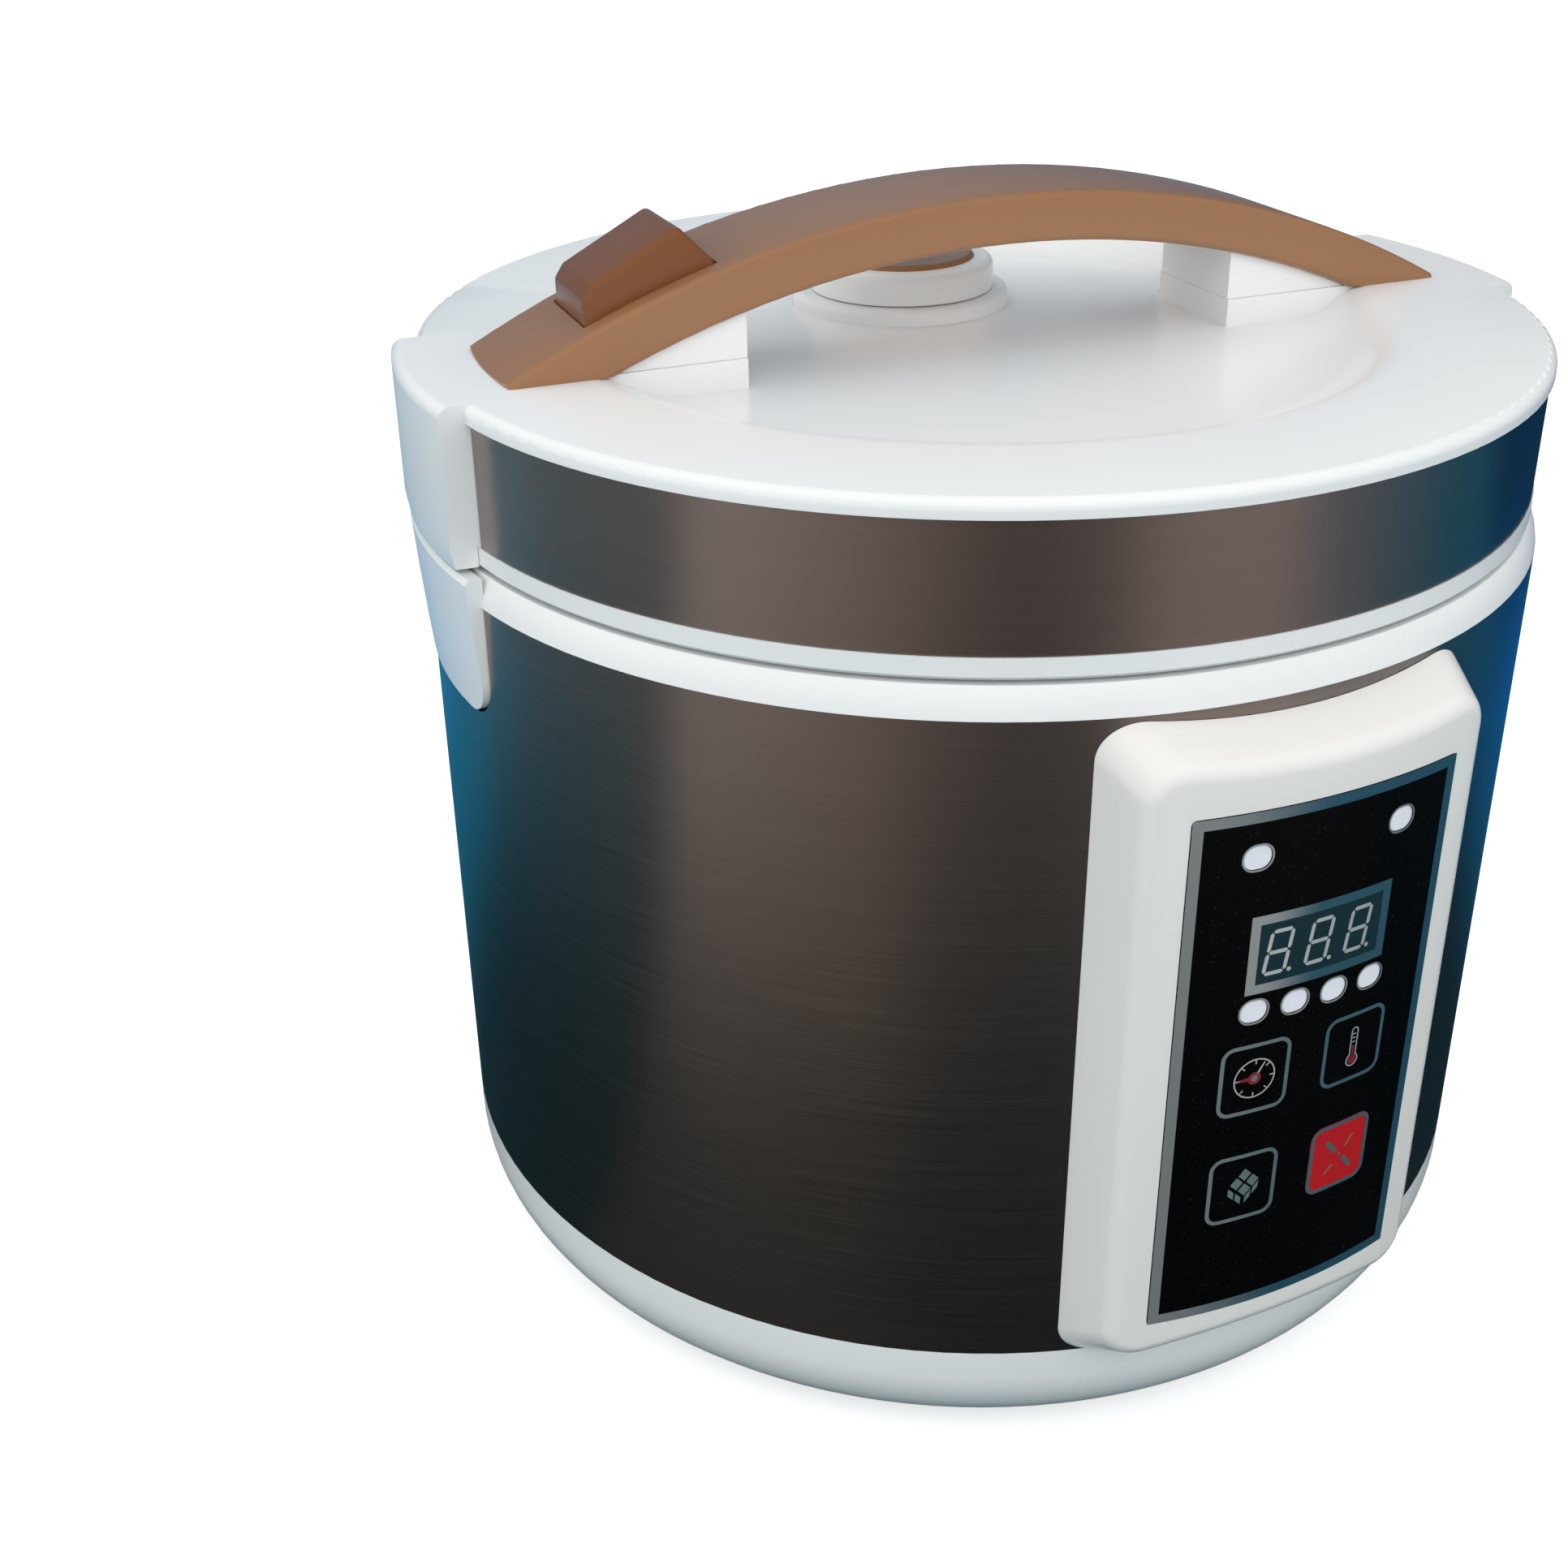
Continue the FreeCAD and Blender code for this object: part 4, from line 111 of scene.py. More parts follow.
class Paint:
    """A node tree that is filled by add() and by sums on sockets."""

    def __init__(self, tree):
        self.tree = tree
        tree.nodes.clear()

    def add(self, kind, inputs=None, out=0, **settings):
        """A node with its settings, and values or links for its inputs."""
        node = self.tree.nodes.new(kind)
        for key, value in settings.items():
            setattr(node, key, value)
        for key, value in (inputs or {}).items():
            if isinstance(value, Socket):
                self.tree.links.new(value.socket, node.inputs[key])
            else:
                node.inputs[key].default_value = value
        return Socket(self, node.outputs[out])

    def mix(self, share, first, second):
        """A colour between two."""
        inputs = {0: share, 6: first, 7: second}
        return self.add("ShaderNodeMix", inputs, out=2, data_type="RGBA")

    def end(self, last, kind="ShaderNodeOutputMaterial"):
        """Sends the last shader to the output."""
        output = self.tree.nodes.new(kind)
        self.tree.links.new(last.socket, output.inputs["Surface"])

    def here(self, scale=(1, 1, 1)):
        """The place on the object in metres, stretched by a factor for each axis."""
        place = self.add("ShaderNodeTexCoord", out="Object")
        return self.add("ShaderNodeVectorMath", {0: place, 1: scale}, operation="MULTIPLY")

    def along(self, place, way):
        """How far a place lies in a direction."""
        inputs = {0: place, 1: tuple(way)}
        return self.add("ShaderNodeVectorMath", inputs, out=1, operation="DOT_PRODUCT")

    def noise(self, scale, detail=2.0, stretch=(1, 1, 1)):
        """Random mottling, from 0 to 1."""
        inputs = {"Vector": self.here(stretch), "Scale": scale, "Detail": detail}
        return self.add("ShaderNodeTexNoise", inputs)


def blank(name):
    """A new material and its empty node tree."""
    material = bpy.data.materials.new(name)
    material.use_nodes = True
    return material, Paint(material.node_tree)


def opaque(colour):
    """A colour with full alpha."""
    return (*colour, 1.0)


# A shiny thing sees two pale sheets in front of the object with a dark gap between them, and blue
# walls beyond dark corners. Each has an angle and a colour at its left and at its right edge, and
# between two of them the colours blend. Angles are in degrees from straight behind the camera.
# The first room is on the floor close by, the second is far off.
NEAR_ROOM = {
    "left wall": (-180, (0.00, 0.24, 0.68), -98, (0.00, 0.32, 0.62)),
    "left corner": (-76, (0.01, 0.17, 0.28), -61, (0.05, 0.14, 0.18)),
    "left sheet": (-53, (0.80, 0.67, 0.58), -21, (0.67, 0.51, 0.39)),
    "gap": (-8, (0.25, 0.18, 0.14), 15, (0.17, 0.13, 0.10)),
    "right sheet": (32, (0.74, 0.55, 0.50), 46, (0.74, 0.57, 0.55)),
    "right corner": (62, (0.14, 0.19, 0.24), 82, (0.00, 0.14, 0.28)),
    "right wall": (104, (0.00, 0.11, 0.36), 128, (0.00, 0.13, 0.56)),
}
FAR_ROOM = {
    "left wall": (-180, (0.08, 0.26, 0.40), -116, (0.07, 0.15, 0.21)),
    "left corner": (-94, (0.19, 0.25, 0.28), -61, (0.24, 0.25, 0.26)),
    "left sheet": (-54, (0.56, 0.52, 0.51), -22, (0.36, 0.30, 0.28)),
    "gap": (4, (0.15, 0.13, 0.13), 20, (0.22, 0.20, 0.19)),
    "right sheet": (31, (0.44, 0.38, 0.36), 51, (0.47, 0.41, 0.40)),
    "right corner": (64, (0.22, 0.25, 0.29), 92, (0.03, 0.16, 0.24)),
    "right wall": (112, (0.00, 0.03, 0.08), 150, (0.00, 0.02, 0.06)),
}
AWAY = Vector((LOOK.x, LOOK.y, 0)).normalized()
ACROSS = Vector((side.x, side.y, 0)).normalized()


def surroundings(paint, place, room):
    """A room's colour in a direction, or over a place on the floor."""
    across = paint.along(place, ACROSS)
    turn = across.math("ARCTAN2", across, paint.along(place, AWAY) * -1.0) * (0.5 / math.pi) + 0.5
    ramp = paint.add("ShaderNodeValToRGB", {"Fac": turn})
    stops = ramp.socket.node.color_ramp.elements
    edges = []
    for left, left_colour, right, right_colour in room.values():
        edges += [(left, left_colour), (right, right_colour)]
    edges.append((180, edges[0][1]))
    for count, (angle, colour) in enumerate(edges):
        share = (angle + 180) / 360
        stop = stops[count] if count < 2 else stops.new(share)
        stop.position = share
        stop.color = opaque(colour)
    return ramp


world = bpy.data.worlds.new("studio")
bpy.context.scene.world = world
world.use_nodes = True
sky = Paint(world.node_tree)
rays = "ShaderNodeLightPath"
direction = sky.add("ShaderNodeTexCoord", out="Generated")
far_room = surroundings(sky, direction, FAR_ROOM)
lit = sky.mix(sky.add(rays, out="Is Glossy Ray"), (1.04, 1.04, 1.03, 1.0), far_room)
shown = sky.mix(sky.add(rays, out="Is Camera Ray"), lit, (1, 1, 1, 1))
sky.end(sky.add("ShaderNodeBackground", {"Color": shown, "Strength": 1.0}), "ShaderNodeOutputWorld")

FLOOR_WIDTH = 6.0
FLOOR_Z = -0.0002
bpy.ops.mesh.primitive_plane_add(size=FLOOR_WIDTH, location=(0, 0, FLOOR_Z))
floor = bpy.context.object
floor.name = "floor"
floor_material, ground = blank("floor")
lit_floor = ground.add("ShaderNodeBsdfDiffuse", {"Color": (0.0, 0.10, 0.14, 1.0)})
pale = ground.add("ShaderNodeBsdfDiffuse", {"Color": (0.62, 0.63, 0.64, 1.0)})
glow = ground.add("ShaderNodeEmission", {"Color": (1, 1, 1, 1), "Strength": 0.58})
white = ground.add("ShaderNodeAddShader", {0: pale, 1: glow})
seen = ground.add(rays, out="Is Camera Ray")
open_floor = ground.add("ShaderNodeMixShader", {0: seen, 1: lit_floor, 2: white})
# What shiny things see of the floor is a painted reflection: for glossy rays the floor glows with the
# rooms' colours. Close to the pot and in front of it this glow is dimmed as painted shade, and near the pot
# it turns teal.
reach = ground.add("ShaderNodeVectorMath", {0: ground.here((1, 1, 0))}, out=1, operation="LENGTH")
reflection_gain_with_painted_shade = 0.12 + reach.ramp(0.22, 0.65) * 1.05 + ground.along(ground.here(), AWAY).ramp(0.02, 0.16) * 0.5
teal = 0.65 - reach.ramp(0.20, 0.42) * 0.4
near_reflection = ground.mix(teal, surroundings(ground, ground.here(), NEAR_ROOM), (0.0, 0.20, 0.27, 1.0))
room = ground.mix(reach.ramp(0.38, 0.62), near_reflection, surroundings(ground, ground.here(), FAR_ROOM))
painted_floor_reflection = ground.add("ShaderNodeEmission", {"Color": room, "Strength": reflection_gain_with_painted_shade})
mirrored = ground.add(rays, out="Is Glossy Ray")
ground.end(ground.add("ShaderNodeMixShader", {0: mirrored, 1: open_floor, 2: painted_floor_reflection}))
floor.data.materials.append(floor_material)


def lamp(name, place, target, width, height, power, colour=(1, 1, 1)):
    """A soft rectangular lamp that faces a point and doesn't show in shiny things."""
    light = bpy.data.lights.new(name, "AREA")
    light.shape = "RECTANGLE"
    light.size = width
    light.size_y = height
    light.energy = power
    light.color = colour
    thing = bpy.data.objects.new(name, light)
    bpy.context.scene.collection.objects.link(thing)
    thing.location = place
    thing.rotation_euler = (Vector(target) - Vector(place)).to_track_quat("-Z", "Y").to_euler()
    thing.visible_glossy = False


CENTRE = (0, 0, 0.12)
lamp("key_lamp", (-0.6, -1.35, 0.45), CENTRE, 0.9, 0.9, 3.2)
lamp("top_lamp", (-0.25, -1.0, 1.1), CENTRE, 0.7, 0.7, 3.2)
lamp("fill_lamp", (0.95, -0.9, 0.5), CENTRE, 0.35, 0.9, 1.5)
lamp("side_lamp_left", (-1.2, 0.1, 0.45), CENTRE, 0.6, 1.0, 2.5, (1.0, 0.99, 0.97))
lamp("blue_lamp_right", (1.1, 0.5, 0.3), CENTRE, 0.5, 1.0, 0.5, (0.10, 0.60, 1.0))


# ------------------------------------------------------------------ base housing
# The white bowl at the bottom, injection moulded in smooth glossy plastic.
TONE = 0.03
MERGE = 0.00001
SMOOTH_ANGLE = math.radians(32.0)


def moulded(name, colour, roughness, grain=0.00004, coat=0.25):
    """Moulded plastic: a little uneven in tone and gloss. A grain above 0 gives it a faint texture."""
    material, paint = blank(name)
    slow = paint.noise(14.0, 3.0)
    lighter = opaque([min(1.0, part * (1 + TONE)) for part in colour])
    darker = opaque([part * (1 - TONE) for part in colour])
    skin = {
        "Base Color": paint.mix(slow, darker, lighter),
        "Roughness": roughness + (slow - 0.5) * 0.06,
        "Specular IOR Level": 0.35,
        "Coat Weight": coat,
        "Coat Roughness": 0.08,
    }
    if grain:
        bump = {"Height": paint.noise(900.0), "Strength": 0.25, "Distance": grain}
        skin["Normal"] = paint.add("ShaderNodeBump", bump)
    paint.end(paint.add("ShaderNodeBsdfPrincipled", skin))
    return material


def dress(name, material):
    """A solid as it was packed, in a new finish."""
    solid = frame["nodes"][name]
    if solid.material_slots:
        for place in solid.material_slots:
            place.material = material
    else:
        solid.data.materials.append(material)


def owner(name):
    """The body that a node rides on."""
    for body, nodes in frame["record"]["behaviour"]["bodies"].items():
        if name in nodes:
            return body


def polished(name, material):
    """A merged and smooth-shaded copy of a solid, which it replaces."""
    solid = frame["nodes"][name]
    bpy.ops.object.select_all(action="DESELECT")
    piece = solid.copy()
    piece.data = solid.data.copy()
    piece.parent = None
    for key in list(piece.keys()):
        del piece[key]
    bpy.context.scene.collection.objects.link(piece)
    piece.name = name + "_skin"
    piece.data.materials.clear()
    piece.data.materials.append(material)
    piece.select_set(True)
    bpy.context.view_layer.objects.active = piece
    bpy.ops.object.mode_set(mode="EDIT")
    bpy.ops.mesh.select_all(action="SELECT")
    bpy.ops.mesh.remove_doubles(threshold=MERGE)
    bpy.ops.object.mode_set(mode="OBJECT")
    bpy.ops.mesh.customdata_custom_splitnormals_clear()
    bpy.ops.object.shade_smooth_by_angle(angle=SMOOTH_ANGLE)
    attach(piece, owner(name))
    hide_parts(name)


white_plastic = moulded("white_plastic", (0.765, 0.775, 0.780), 0.28, grain=0, coat=0.12)
polished("base_housing", white_plastic)


# ------------------------------------------------------------------ feet and bottom cover
# Four soft rubber feet pushed through the base, and the matt hatch that closes it.
foot_rubber = moulded("foot_rubber", (0.045, 0.045, 0.047), 0.75, 0.00012, coat=0.0)
hatch_plastic = moulded("hatch_plastic", (0.60, 0.61, 0.62), 0.5, 0.00010, coat=0.0)
polished("feet", foot_rubber)
polished("bottom_cover", hatch_plastic)


# ------------------------------------------------------------------ body band
# Thin stainless sheet wrapped round the body and brushed along its length.
SCRATCH_SCALE = 2600.0
SCRATCH_DEPTH = 0.000012


def brushed(name, colour, roughness):
    """Sheet metal brushed round the Z axis: fine level lines that spread the light upright."""
    material, paint = blank(name)
    scratches = paint.noise(SCRATCH_SCALE, 2.0, (0.012, 0.012, 1.0))
    streaks = paint.noise(160.0, 3.0, (0.05, 0.05, 1.0))
    slow = paint.noise(9.0, 2.0, (1.0, 1.0, 0.25))
    tone = scratches * 0.5 + streaks * 0.3 + slow * 0.2
    darker = opaque([part * 0.80 for part in colour])
    lighter = opaque([min(1.0, part * 1.22) for part in colour])
    bump = {"Height": scratches, "Strength": 0.35, "Distance": SCRATCH_DEPTH}
    skin = {
        "Base Color": paint.mix(tone, darker, lighter),
        "Metallic": 1.0,
        "Roughness": roughness + (scratches - 0.5) * 0.12,
        "Anisotropic": 0.75,
        "Anisotropic Rotation": 0.25,
        "Normal": paint.add("ShaderNodeBump", bump),
    }
    paint.end(paint.add("ShaderNodeBsdfPrincipled", skin))
    return material


brushed_steel = brushed("brushed_stainless", (0.31, 0.268, 0.247), 0.29)
polished("body_band", brushed_steel)


# ------------------------------------------------------------------ body rim, keeper and hinge pin
# The white rim that the pot hangs on, with the tongue at the latch, and the steel in it.
bright_steel = brushed("bright_steel", (0.60, 0.60, 0.59), 0.25)
polished("body_rim", white_plastic)
dress("latch_keeper", bright_steel)
polished("hinge_pin", bright_steel)


# ------------------------------------------------------------------ heating chamber
# Aluminised chamber, silicone belt, cast plate with its element, and the sprung sensor.
liner_steel = brushed("liner_steel", (0.50, 0.50, 0.49), 0.38)
plate_aluminium = brushed("plate_aluminium", (0.62, 0.62, 0.62), 0.34)
element_steel = brushed("element_steel", (0.30, 0.29, 0.28), 0.42)
belt_silicone = moulded("belt_silicone", (0.45, 0.16, 0.06), 0.6, 0.00010, coat=0.0)
polished("inner_liner", liner_steel)
polished("sensor_guide", liner_steel)
polished("heating_plate", plate_aluminium)
polished("temperature_sensor", plate_aluminium)
polished("heating_element", element_steel)
dress("thermal_fuse", element_steel)
dress("heating_belt", belt_silicone)
dress("sensor_spring", bright_steel)


# ------------------------------------------------------------------ inner pot
# Spun aluminium with a dark speckled coating that food doesn't stick to.
def speckled(name, colour, fleck, roughness):
    """A baked coating with pale flecks."""
    material, paint = blank(name)
    flecks = paint.noise(1400.0, 1.0).ramp(0.64, 0.70)
    grain = paint.noise(2600.0, 1.0)
    skin = {
        "Base Color": paint.mix(flecks, opaque(colour), opaque(fleck)),
        "Roughness": roughness + flecks * 0.1,
        "Normal": paint.add("ShaderNodeBump", {"Height": grain, "Strength": 0.3, "Distance": 0.00003}),
    }
    paint.end(paint.add("ShaderNodeBsdfPrincipled", skin))
    return material


polished("inner_pot", speckled("pot_coating", (0.045, 0.045, 0.048), (0.16, 0.16, 0.17), 0.34))


# ------------------------------------------------------------------ power side
# The board on the bottom cover, and the socket for the lead with its white surround.
board_green = moulded("board_green", (0.03, 0.16, 0.06), 0.45, 0.00006)
inlet_black = moulded("inlet_black", (0.02, 0.02, 0.021), 0.5, 0.00008, coat=0.0)
pin_brass = brushed("pin_brass", (0.60, 0.45, 0.20), 0.25)
dress("power_board", board_green)
polished("inlet_housing", white_plastic)
polished("power_inlet", inlet_black)
dress("inlet_pins", pin_brass)


# ------------------------------------------------------------------ panel housing
# The warm white moulding that carries the controls, proud of the band.
panel_white = moulded("panel_white", (0.77, 0.755, 0.73), 0.22, grain=0)
polished("panel_housing", panel_white)
dress("control_board", board_green)
dress("display_module", inlet_black)
dress("key_switches", inlet_black)
dress("board_cable", moulded("cable_grey", (0.35, 0.35, 0.36), 0.5))


# ------------------------------------------------------------------ panel label
# A glossy black film with its marks printed in silver, bent round the panel's front.
PANEL_R = 142.1
PANEL_TURN = math.radians(4.2)
INK = 0.05
SLICE = 2.5


def film(name, colour, roughness):
    """Glossy printed film with a trace of dust and rubbing."""
    material, paint = blank(name)
    dust = paint.noise(1800.0, 2.0).ramp(0.66, 0.72)
    rubbed = paint.noise(30.0, 3.0)
    skin = {
        "Base Color": paint.mix(dust * 0.05, opaque(colour), (0.25, 0.26, 0.27, 1.0)),
        "Roughness": roughness + rubbed * 0.08,
        "Specular IOR Level": 0.06,
    }
    paint.end(paint.add("ShaderNodeBsdfPrincipled", skin))
    return material


def metal_ink(name, near_reflection, far_reflection, reflection_span=(0.0, 1.0), roughness=0.38):
    """Printing ink with metal flakes. Its colour turns from the first given colour to the second between
    two places along X: a painted reflection over the ink's own tone.
    """
    material, paint = blank(name)
    flakes = paint.noise(5200.0, 1.0)
    across = paint.add("ShaderNodeSeparateXYZ", {0: paint.here()}, out=0)
    tone = paint.mix(across.ramp(*reflection_span), opaque(near_reflection), opaque(far_reflection))
    dark = paint.mix(0.15, tone, (0, 0, 0, 1))
    skin = {
        "Base Color": paint.mix(flakes, dark, tone),
        "Metallic": 0.5,
        "Roughness": roughness + (flakes - 0.5) * 0.1,
    }
    paint.end(paint.add("ShaderNodeBsdfPrincipled", skin))
    return material


def bent(piece):
    """Bends what was drawn flat, in millimetres across and up, round the panel's front."""
    for vertex in piece.data.vertices:
        across, up, proud = vertex.co
        radius = PANEL_R + proud
        depth = -math.sqrt(radius ** 2 - across ** 2)
        x = across * math.cos(PANEL_TURN) - depth * math.sin(PANEL_TURN)
        y = across * math.sin(PANEL_TURN) + depth * math.cos(PANEL_TURN)
        vertex.co = (x * MM, y * MM, up * MM)
    piece.data.update()


def printed(name, outlines, material, body):
    """A mark of ink: filled outlines, where an outline inside another is a hole."""
    curve = bpy.data.curves.new(name, "CURVE")
    curve.dimensions = "2D"
    curve.fill_mode = "BOTH"
    curve.extrude = INK / 2
    for outline in outlines:
        spline = curve.splines.new("POLY")
        spline.points.add(len(outline) - 1)
        for point, (across, up) in zip(spline.points, outline):
            point.co = (across, up, 0, 1)
        spline.use_cyclic_u = True
    piece = bpy.data.objects.new(name, curve)
    bpy.context.scene.collection.objects.link(piece)
    bpy.ops.object.select_all(action="DESELECT")
    piece.select_set(True)
    bpy.context.view_layer.objects.active = piece
    bpy.ops.object.convert(target="MESH")
    piece = bpy.context.object
    piece.name = name
    for vertex in piece.data.vertices:
        vertex.co.z += INK / 2
    reach = max(abs(vertex.co.x) for vertex in piece.data.vertices)
    bpy.ops.object.mode_set(mode="EDIT")
    bpy.ops.mesh.select_all(action="SELECT")
    bpy.ops.mesh.remove_doubles(threshold=0.001)
    for step in range(-int(reach / SLICE), int(reach / SLICE) + 1):
        bpy.ops.mesh.select_all(action="SELECT")
        bpy.ops.mesh.bisect(plane_co=(step * SLICE, 0, 0), plane_no=(1, 0, 0))
    bpy.ops.mesh.select_all(action="SELECT")
    bpy.ops.mesh.normals_make_consistent(inside=False)
    bpy.ops.object.mode_set(mode="OBJECT")
    bent(piece)
    piece.data.materials.append(material)
    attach(piece, body)


def rectangle(left, low, right, high):
    """The four corners."""
    return [(left, low), (right, low), (right, high), (left, high)]


def rounded(across, up, width, height, corner, steps=6):
    """A rectangle with round corners about a centre."""
    points = []
    for turn, (sx, sy) in enumerate(((1, -1), (1, 1), (-1, 1), (-1, -1))):
        middle = (across + sx * (width / 2 - corner), up + sy * (height / 2 - corner))
        for step in range(steps + 1):
            angle = math.radians(-90 + 90 * turn + 90 * step / steps)
            points.append((middle[0] + corner * math.cos(angle), middle[1] + corner * math.sin(angle)))
    return points


def circle(across, up, radius, steps=32):
    """Points round a centre."""
    turn = 2 * math.pi / steps
    return [(across + radius * math.cos(turn * n), up + radius * math.sin(turn * n)) for n in range(steps)]


def stroke(start, end, width, taper=1.0):
    """A straight bar between two points, narrower at its end."""
    along = Vector((end[0] - start[0], end[1] - start[1])).normalized()
    out = Vector((-along.y, along.x)) * width / 2
    return [
        (start[0] - out.x, start[1] - out.y), (end[0] - out.x * taper, end[1] - out.y * taper),
        (end[0] + out.x * taper, end[1] + out.y * taper), (start[0] + out.x, start[1] + out.y),
    ]


LABEL = (-31.5, 45.4, 31.5, 168.3)
BORDER = 2.4
EDGE_GAP = 0.06
label_black = film("label_black", (0.0015, 0.0018, 0.002), 0.22)
# These inks carry a painted reflection: pale at the label's left, darker and bluer towards its right.
border_ink = metal_ink("border_ink", (0.34, 0.37, 0.38), (0.035, 0.135, 0.200), (-0.020, 0.012))
silver_ink = metal_ink("silver_ink", (0.42, 0.45, 0.46), (0.15, 0.21, 0.25), (0.010, 0.040))
pale_ink = metal_ink("pale_ink", (0.76, 0.78, 0.79), (0.60, 0.65, 0.68), (-0.010, 0.030))
polished("panel_label", label_black)
outer = [LABEL[0] + EDGE_GAP, LABEL[1] + EDGE_GAP, LABEL[2] - EDGE_GAP, LABEL[3] - EDGE_GAP]
inner = [LABEL[0] + BORDER, LABEL[1] + BORDER, LABEL[2] - BORDER, LABEL[3] - BORDER]
printed("label_border", [rectangle(*outer), rectangle(*inner)], border_ink, "body")


# ------------------------------------------------------------------ display window
# A dark teal window with a silver frame, over three unlit digits of seven bars and a point.
WINDOW = (-17.0, 126.7, 17.0, 144.8)
WINDOW_LINE = 2.1
DIGIT_PITCH = 9.7
DIGIT_W = 5.6
DIGIT_H = 10.4
DIGIT_MIDDLE = (WINDOW[1] + WINDOW[3]) / 2
DIGIT_SHIFT = -0.6
POINT_R = 0.5
POINT_GAP = 1.2
BAR = 0.85
BAR_GAP = 0.18
SLANT = math.tan(math.radians(8.0))
polished("display_window", film("window_tint", (0.010, 0.030, 0.038), 0.12))
# The frame's ink carries the same painted reflection, silver at the left and dark blue at the right.
frame_ink = metal_ink("frame_ink", (0.46, 0.49, 0.50), (0.050, 0.150, 0.210), (-0.004, 0.010))
outer = WINDOW
inner = [WINDOW[0] + WINDOW_LINE, WINDOW[1] + WINDOW_LINE, WINDOW[2] - WINDOW_LINE, WINDOW[3] - WINDOW_LINE]
printed("display_frame", [rectangle(*outer), rectangle(*inner)], frame_ink, "body")


def bar(start, end):
    """One bar of a digit: six corners, pointed at both ends."""
    along = Vector((end[0] - start[0], end[1] - start[1]))
    length = along.length
    along.normalize()
    out = Vector((-along.y, along.x)) * BAR / 2
    first = Vector(start) + along * BAR_GAP
    last = Vector(start) + along * (length - BAR_GAP)
    tip = along * BAR / 2
    return [first, first + tip - out, last - tip - out, last, last - tip + out, first + tip + out]


def leaning(points, middle):
    """Points of a digit about its centre, slanted and moved to their place in the window."""
    return [(middle + x + y * SLANT, DIGIT_MIDDLE + y) for x, y in points]


right = DIGIT_W / 2 - BAR / 2
top = DIGIT_H / 2 - BAR / 2
BARS = [((-right, top), (right, top)), ((-right, 0), (right, 0)), ((-right, -top), (right, -top)),
        ((-right, 0), (-right, top)), ((right, 0), (right, top)),
        ((-right, -top), (-right, 0)), ((right, -top), (right, 0))]
digit_outlines = []
for place in (-1, 0, 1):
    middle = place * DIGIT_PITCH + DIGIT_SHIFT
    for start, end in BARS:
        digit_outlines.append(leaning(bar(start, end), middle))
    point = circle(right + POINT_GAP, -top, POINT_R, 16)
    digit_outlines.append([(middle + x - top * SLANT, DIGIT_MIDDLE + y) for x, y in point])
printed("digits", digit_outlines, pale_ink, "body")


# ------------------------------------------------------------------ indicator lights
# Oval white lenses with a thin printed ring, two above the display and four in a row under it.
LIGHT_W = 6.2
LIGHT_H = 5.3
LIGHT_CORNER = 2.5
LIGHT_LINE = 0.4
LIGHT_PITCH = 9.6
LIGHT_ROW = 122.5
LIGHTS = [(-17.2, 158.2), (17.2, 158.2)] + [((step - 1.5) * LIGHT_PITCH, LIGHT_ROW) for step in range(4)]
polished("indicator_lights", moulded("light_white", (0.80, 0.80, 0.86), 0.30))
for count, (across, up) in enumerate(LIGHTS):
    printed(f"light_ring_{count}", [
        rounded(across, up, LIGHT_W + 2 * LIGHT_LINE, LIGHT_H + 2 * LIGHT_LINE, LIGHT_CORNER + LIGHT_LINE),
        rounded(across, up, LIGHT_W, LIGHT_H, LIGHT_CORNER),
    ], silver_ink, "body")


# ------------------------------------------------------------------ keys
# Film keys with a printed outline and a plain picture each: clock, thermometer, tiles, cross.
KEY_W = 16.4
KEY_H = 17.4
KEY_CORNER = 3.0
KEY_LINE = 0.95
KEY_EDGE = 0.05
DIAL_R = 4.8
DIAL_LINE = 0.3
FINE_LINE = 0.25
HUB_R = 1.5
BULB_R = 1.65
TUBE_R = 0.95
GLASS = 0.28
BAR_W = 1.15
STROKE_W = 0.5
KEY_PLACES = {
    "key_time": (-12.5, 105.9),
    "key_temperature": (12.5, 105.9),
    "key_function": (-12.5, 78.1),
    "key_enter": (12.5, 78.1),
}
# The teal and red inks carry the same painted reflection, darker towards the right.
teal_ink = metal_ink("teal_ink", (0.26, 0.34, 0.35), (0.090, 0.210, 0.260), (-0.010, 0.020))
slate_ink = metal_ink("slate_ink", (0.16, 0.22, 0.25), (0.12, 0.17, 0.21))
tan_ink = metal_ink("tan_ink", (0.40, 0.25, 0.16), (0.36, 0.22, 0.14))
red_ink = metal_ink("red_ink", (0.42, 0.03, 0.05), (0.30, 0.03, 0.05), (-0.010, 0.030), 0.45)
red_film = film("key_red", (0.44, 0.014, 0.018), 0.2)
for name, (across, up) in KEY_PLACES.items():
    polished(name, red_film if name == "key_enter" else label_black)
    printed(name + "_outline", [
        rounded(across, up, KEY_W - 2 * KEY_EDGE, KEY_H - 2 * KEY_EDGE, KEY_CORNER),
        rounded(across, up, KEY_W - 2 * KEY_LINE, KEY_H - 2 * KEY_LINE, KEY_CORNER - KEY_LINE),
    ], teal_ink, owner(name))

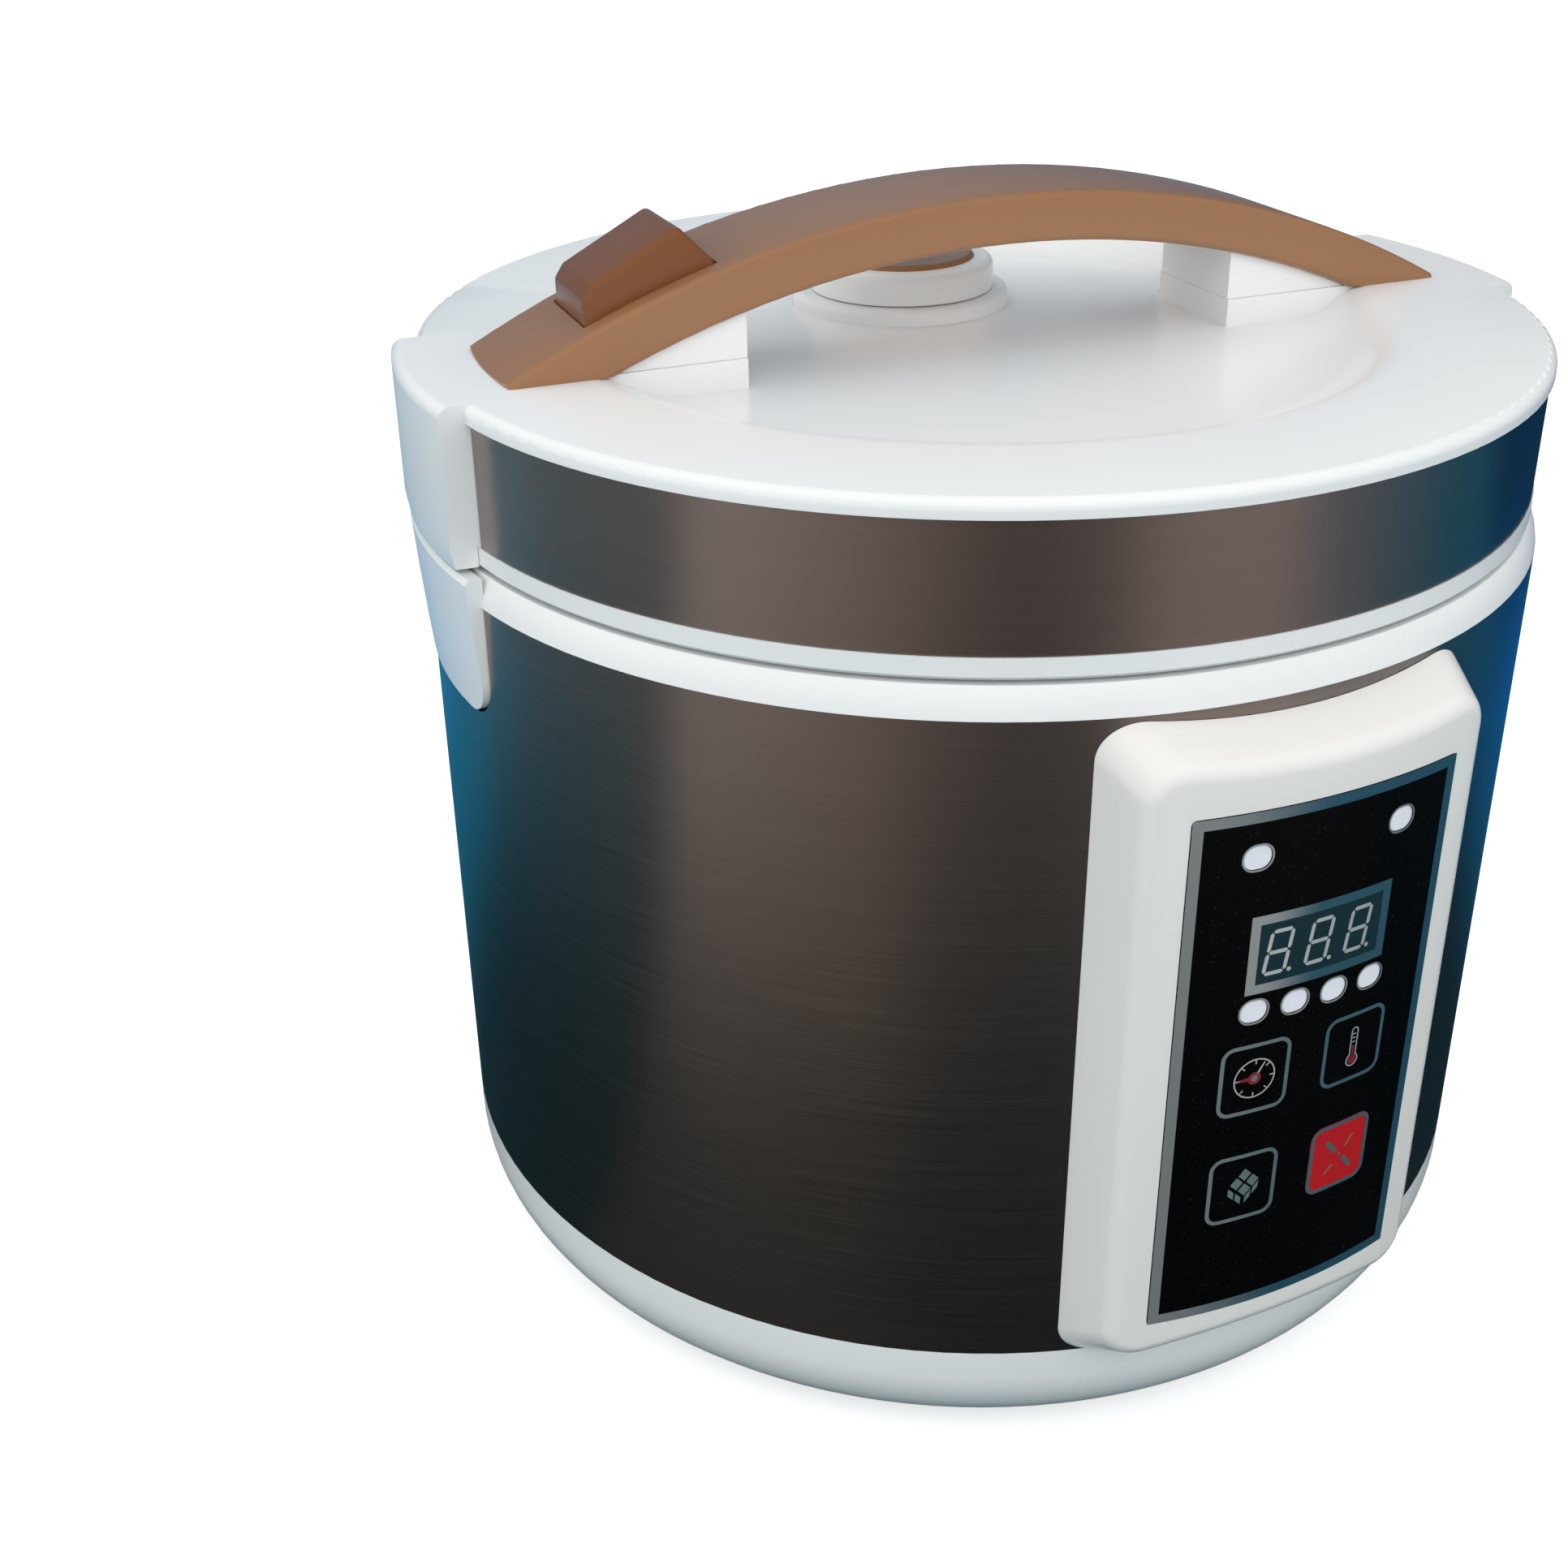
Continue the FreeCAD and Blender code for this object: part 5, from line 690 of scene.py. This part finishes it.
across, up = KEY_PLACES["key_time"]
printed("clock_dial", [circle(across, up, DIAL_R, 48), circle(across, up, DIAL_R - DIAL_LINE, 48)],
        pale_ink, owner("key_time"))
hub = Vector((across, up))
ticks = []
for step in range(8):
    turn = math.radians(45 * step)
    ray = Vector((math.cos(turn), math.sin(turn)))
    ticks.append(stroke(hub + ray * (DIAL_R - 1.3), hub + ray * (DIAL_R - 0.4), FINE_LINE))
ticks.append(stroke((across + 0.6, up + 1.0), (across + 2.1, up + 3.6), 0.45, 0.5))
printed("clock_ticks", ticks, pale_ink, owner("key_time"))
printed("clock_hub", [circle(across, up, HUB_R), circle(across, up, HUB_R - 0.65)],
        red_ink, owner("key_time"))
printed("clock_pin", [circle(across, up, HUB_R - 0.7)], teal_ink, owner("key_time"))
printed("clock_hand", [stroke((across - HUB_R + 0.05, up), (across - 3.7, up), 1.0, 0.5)],
        red_ink, owner("key_time"))

across, up = KEY_PLACES["key_temperature"]


def flask(grow):
    """The outline of a thermometer: a bulb under a narrow tube."""
    bulb = BULB_R + grow
    tube = TUBE_R + grow
    join = math.acos(tube / bulb)
    points = []
    for step in range(19):
        turn = math.pi - join + (math.pi + 2 * join) * step / 18
        points.append((across + bulb * math.cos(turn), up - 3.3 + bulb * math.sin(turn)))
    for step in range(9):
        turn = math.pi * step / 8
        points.append((across + tube * math.cos(turn), up + 3.9 + tube * math.sin(turn)))
    return points


printed("thermometer_glass", [flask(0.0), flask(-GLASS)],
        pale_ink, owner("key_temperature"))
printed("thermometer_bulb", [circle(across, up - 3.3, BULB_R - 0.5)],
        red_ink, owner("key_temperature"))
printed("thermometer_column", [stroke((across, up - 2.1), (across, up + 0.3), 0.7)],
        red_ink, owner("key_temperature"))
ticks = []
for height in (1.2, 2.2, 3.2):
    ticks.append(stroke((across - 0.5, up + height), (across + 0.3, up + height), FINE_LINE))
printed("thermometer_ticks", ticks, pale_ink, owner("key_temperature"))

# Eight tiles on the three sides of a cube: the middles on each side, then the two edges of a tile.
across, up = KEY_PLACES["key_function"]
TOP_TILES = (((0.4, 3.1), (2.4, 1.2), (-1.4, 1.1), (0.6, -0.8)), (1.55, -1.55), (-1.45, -1.65))
LEFT_TILES = (((-2.6, -1.3), (-0.8, -2.9)), (1.35, -1.30), (-0.10, -1.75))
RIGHT_TILES = (((1.5, -2.8), (3.2, -0.9)), (1.30, 1.45), (-0.15, -1.70))
CORNERS = ((-0.5, -0.5), (0.5, -0.5), (0.5, 0.5), (-0.5, 0.5))
tiles = []
for middles, edge, other in (TOP_TILES, LEFT_TILES, RIGHT_TILES):
    for x, y in middles:
        tiles.append([(across + x + i * edge[0] + j * other[0], up + y + i * edge[1] + j * other[1])
                      for i, j in CORNERS])
printed("tiles", tiles, teal_ink, owner("key_function"))

across, up = KEY_PLACES["key_enter"]
printed("cross_bars", [
    stroke((across - 3.8, up + 4.3), (across - 0.9, up + 0.9), BAR_W),
    stroke((across + 1.3, up - 1.3), (across + 3.9, up - 4.5), BAR_W),
    circle(across + 0.2, up - 0.2, 0.42, 16),
], slate_ink, owner("key_enter"))
printed("cross_strokes", [
    stroke((across - 3.5, up - 4.2), (across - 1.4, up - 2.2), STROKE_W),
    stroke((across + 1.6, up + 1.4), (across + 3.7, up + 4.1), STROKE_W),
], tan_ink, owner("key_enter"))


# ------------------------------------------------------------------ lid
# The white lid top and its lower ring, with the brushed band between them.
polished("lid_top", white_plastic)
polished("lid_ring", white_plastic)
polished("lid_band", brushed_steel)


# ------------------------------------------------------------------ inside the lid
# A bright cover with a silicone ring round it, and the sleeve under the steam vent.
seal_silicone = moulded("seal_silicone", (0.70, 0.71, 0.70), 0.45, 0.00006, coat=0.0)
polished("lid_inner_cover", plate_aluminium)
polished("lid_seal", seal_silicone)
polished("vent_gasket", seal_silicone)


# ------------------------------------------------------------------ handle
# A satin tan bar that arches over the lid on two white posts.
tan_plastic = moulded("tan_plastic", (0.285, 0.140, 0.066), 0.33, 0.00003, coat=0.25)
polished("handle_bar", tan_plastic)
polished("handle_post_latch", white_plastic)
polished("handle_post_hinge", white_plastic)


# ------------------------------------------------------------------ release button and latch
# The wedge-shaped button in the handle, its rod and spring, and the lever that it rocks.
polished("release_button", moulded("button_tan", (0.185, 0.066, 0.021), 0.30, 0.00003, coat=0.2))
polished("push_rod", bright_steel)
dress("button_spring", bright_steel)
dress("latch_spring", bright_steel)
polished("latch_pin", bright_steel)
polished("latch_hook", moulded("hook_plastic", (0.55, 0.55, 0.56), 0.45))


# ------------------------------------------------------------------ steam vent
# A round white seat with a cap that pulls up, and a tan disc set into the cap.
polished("vent_seat", white_plastic)
polished("vent_cap", white_plastic)
polished("vent_disc", tan_plastic)


# ------------------------------------------------------------------ screws
# Plated pan-head screws, all driven from below or from inside.
screw_steel = brushed("screw_steel", (0.55, 0.55, 0.55), 0.3)
for name in ("base_screws", "lid_screws", "handle_screws", "panel_screws", "inlet_screws"):
    dress(name, screw_steel)
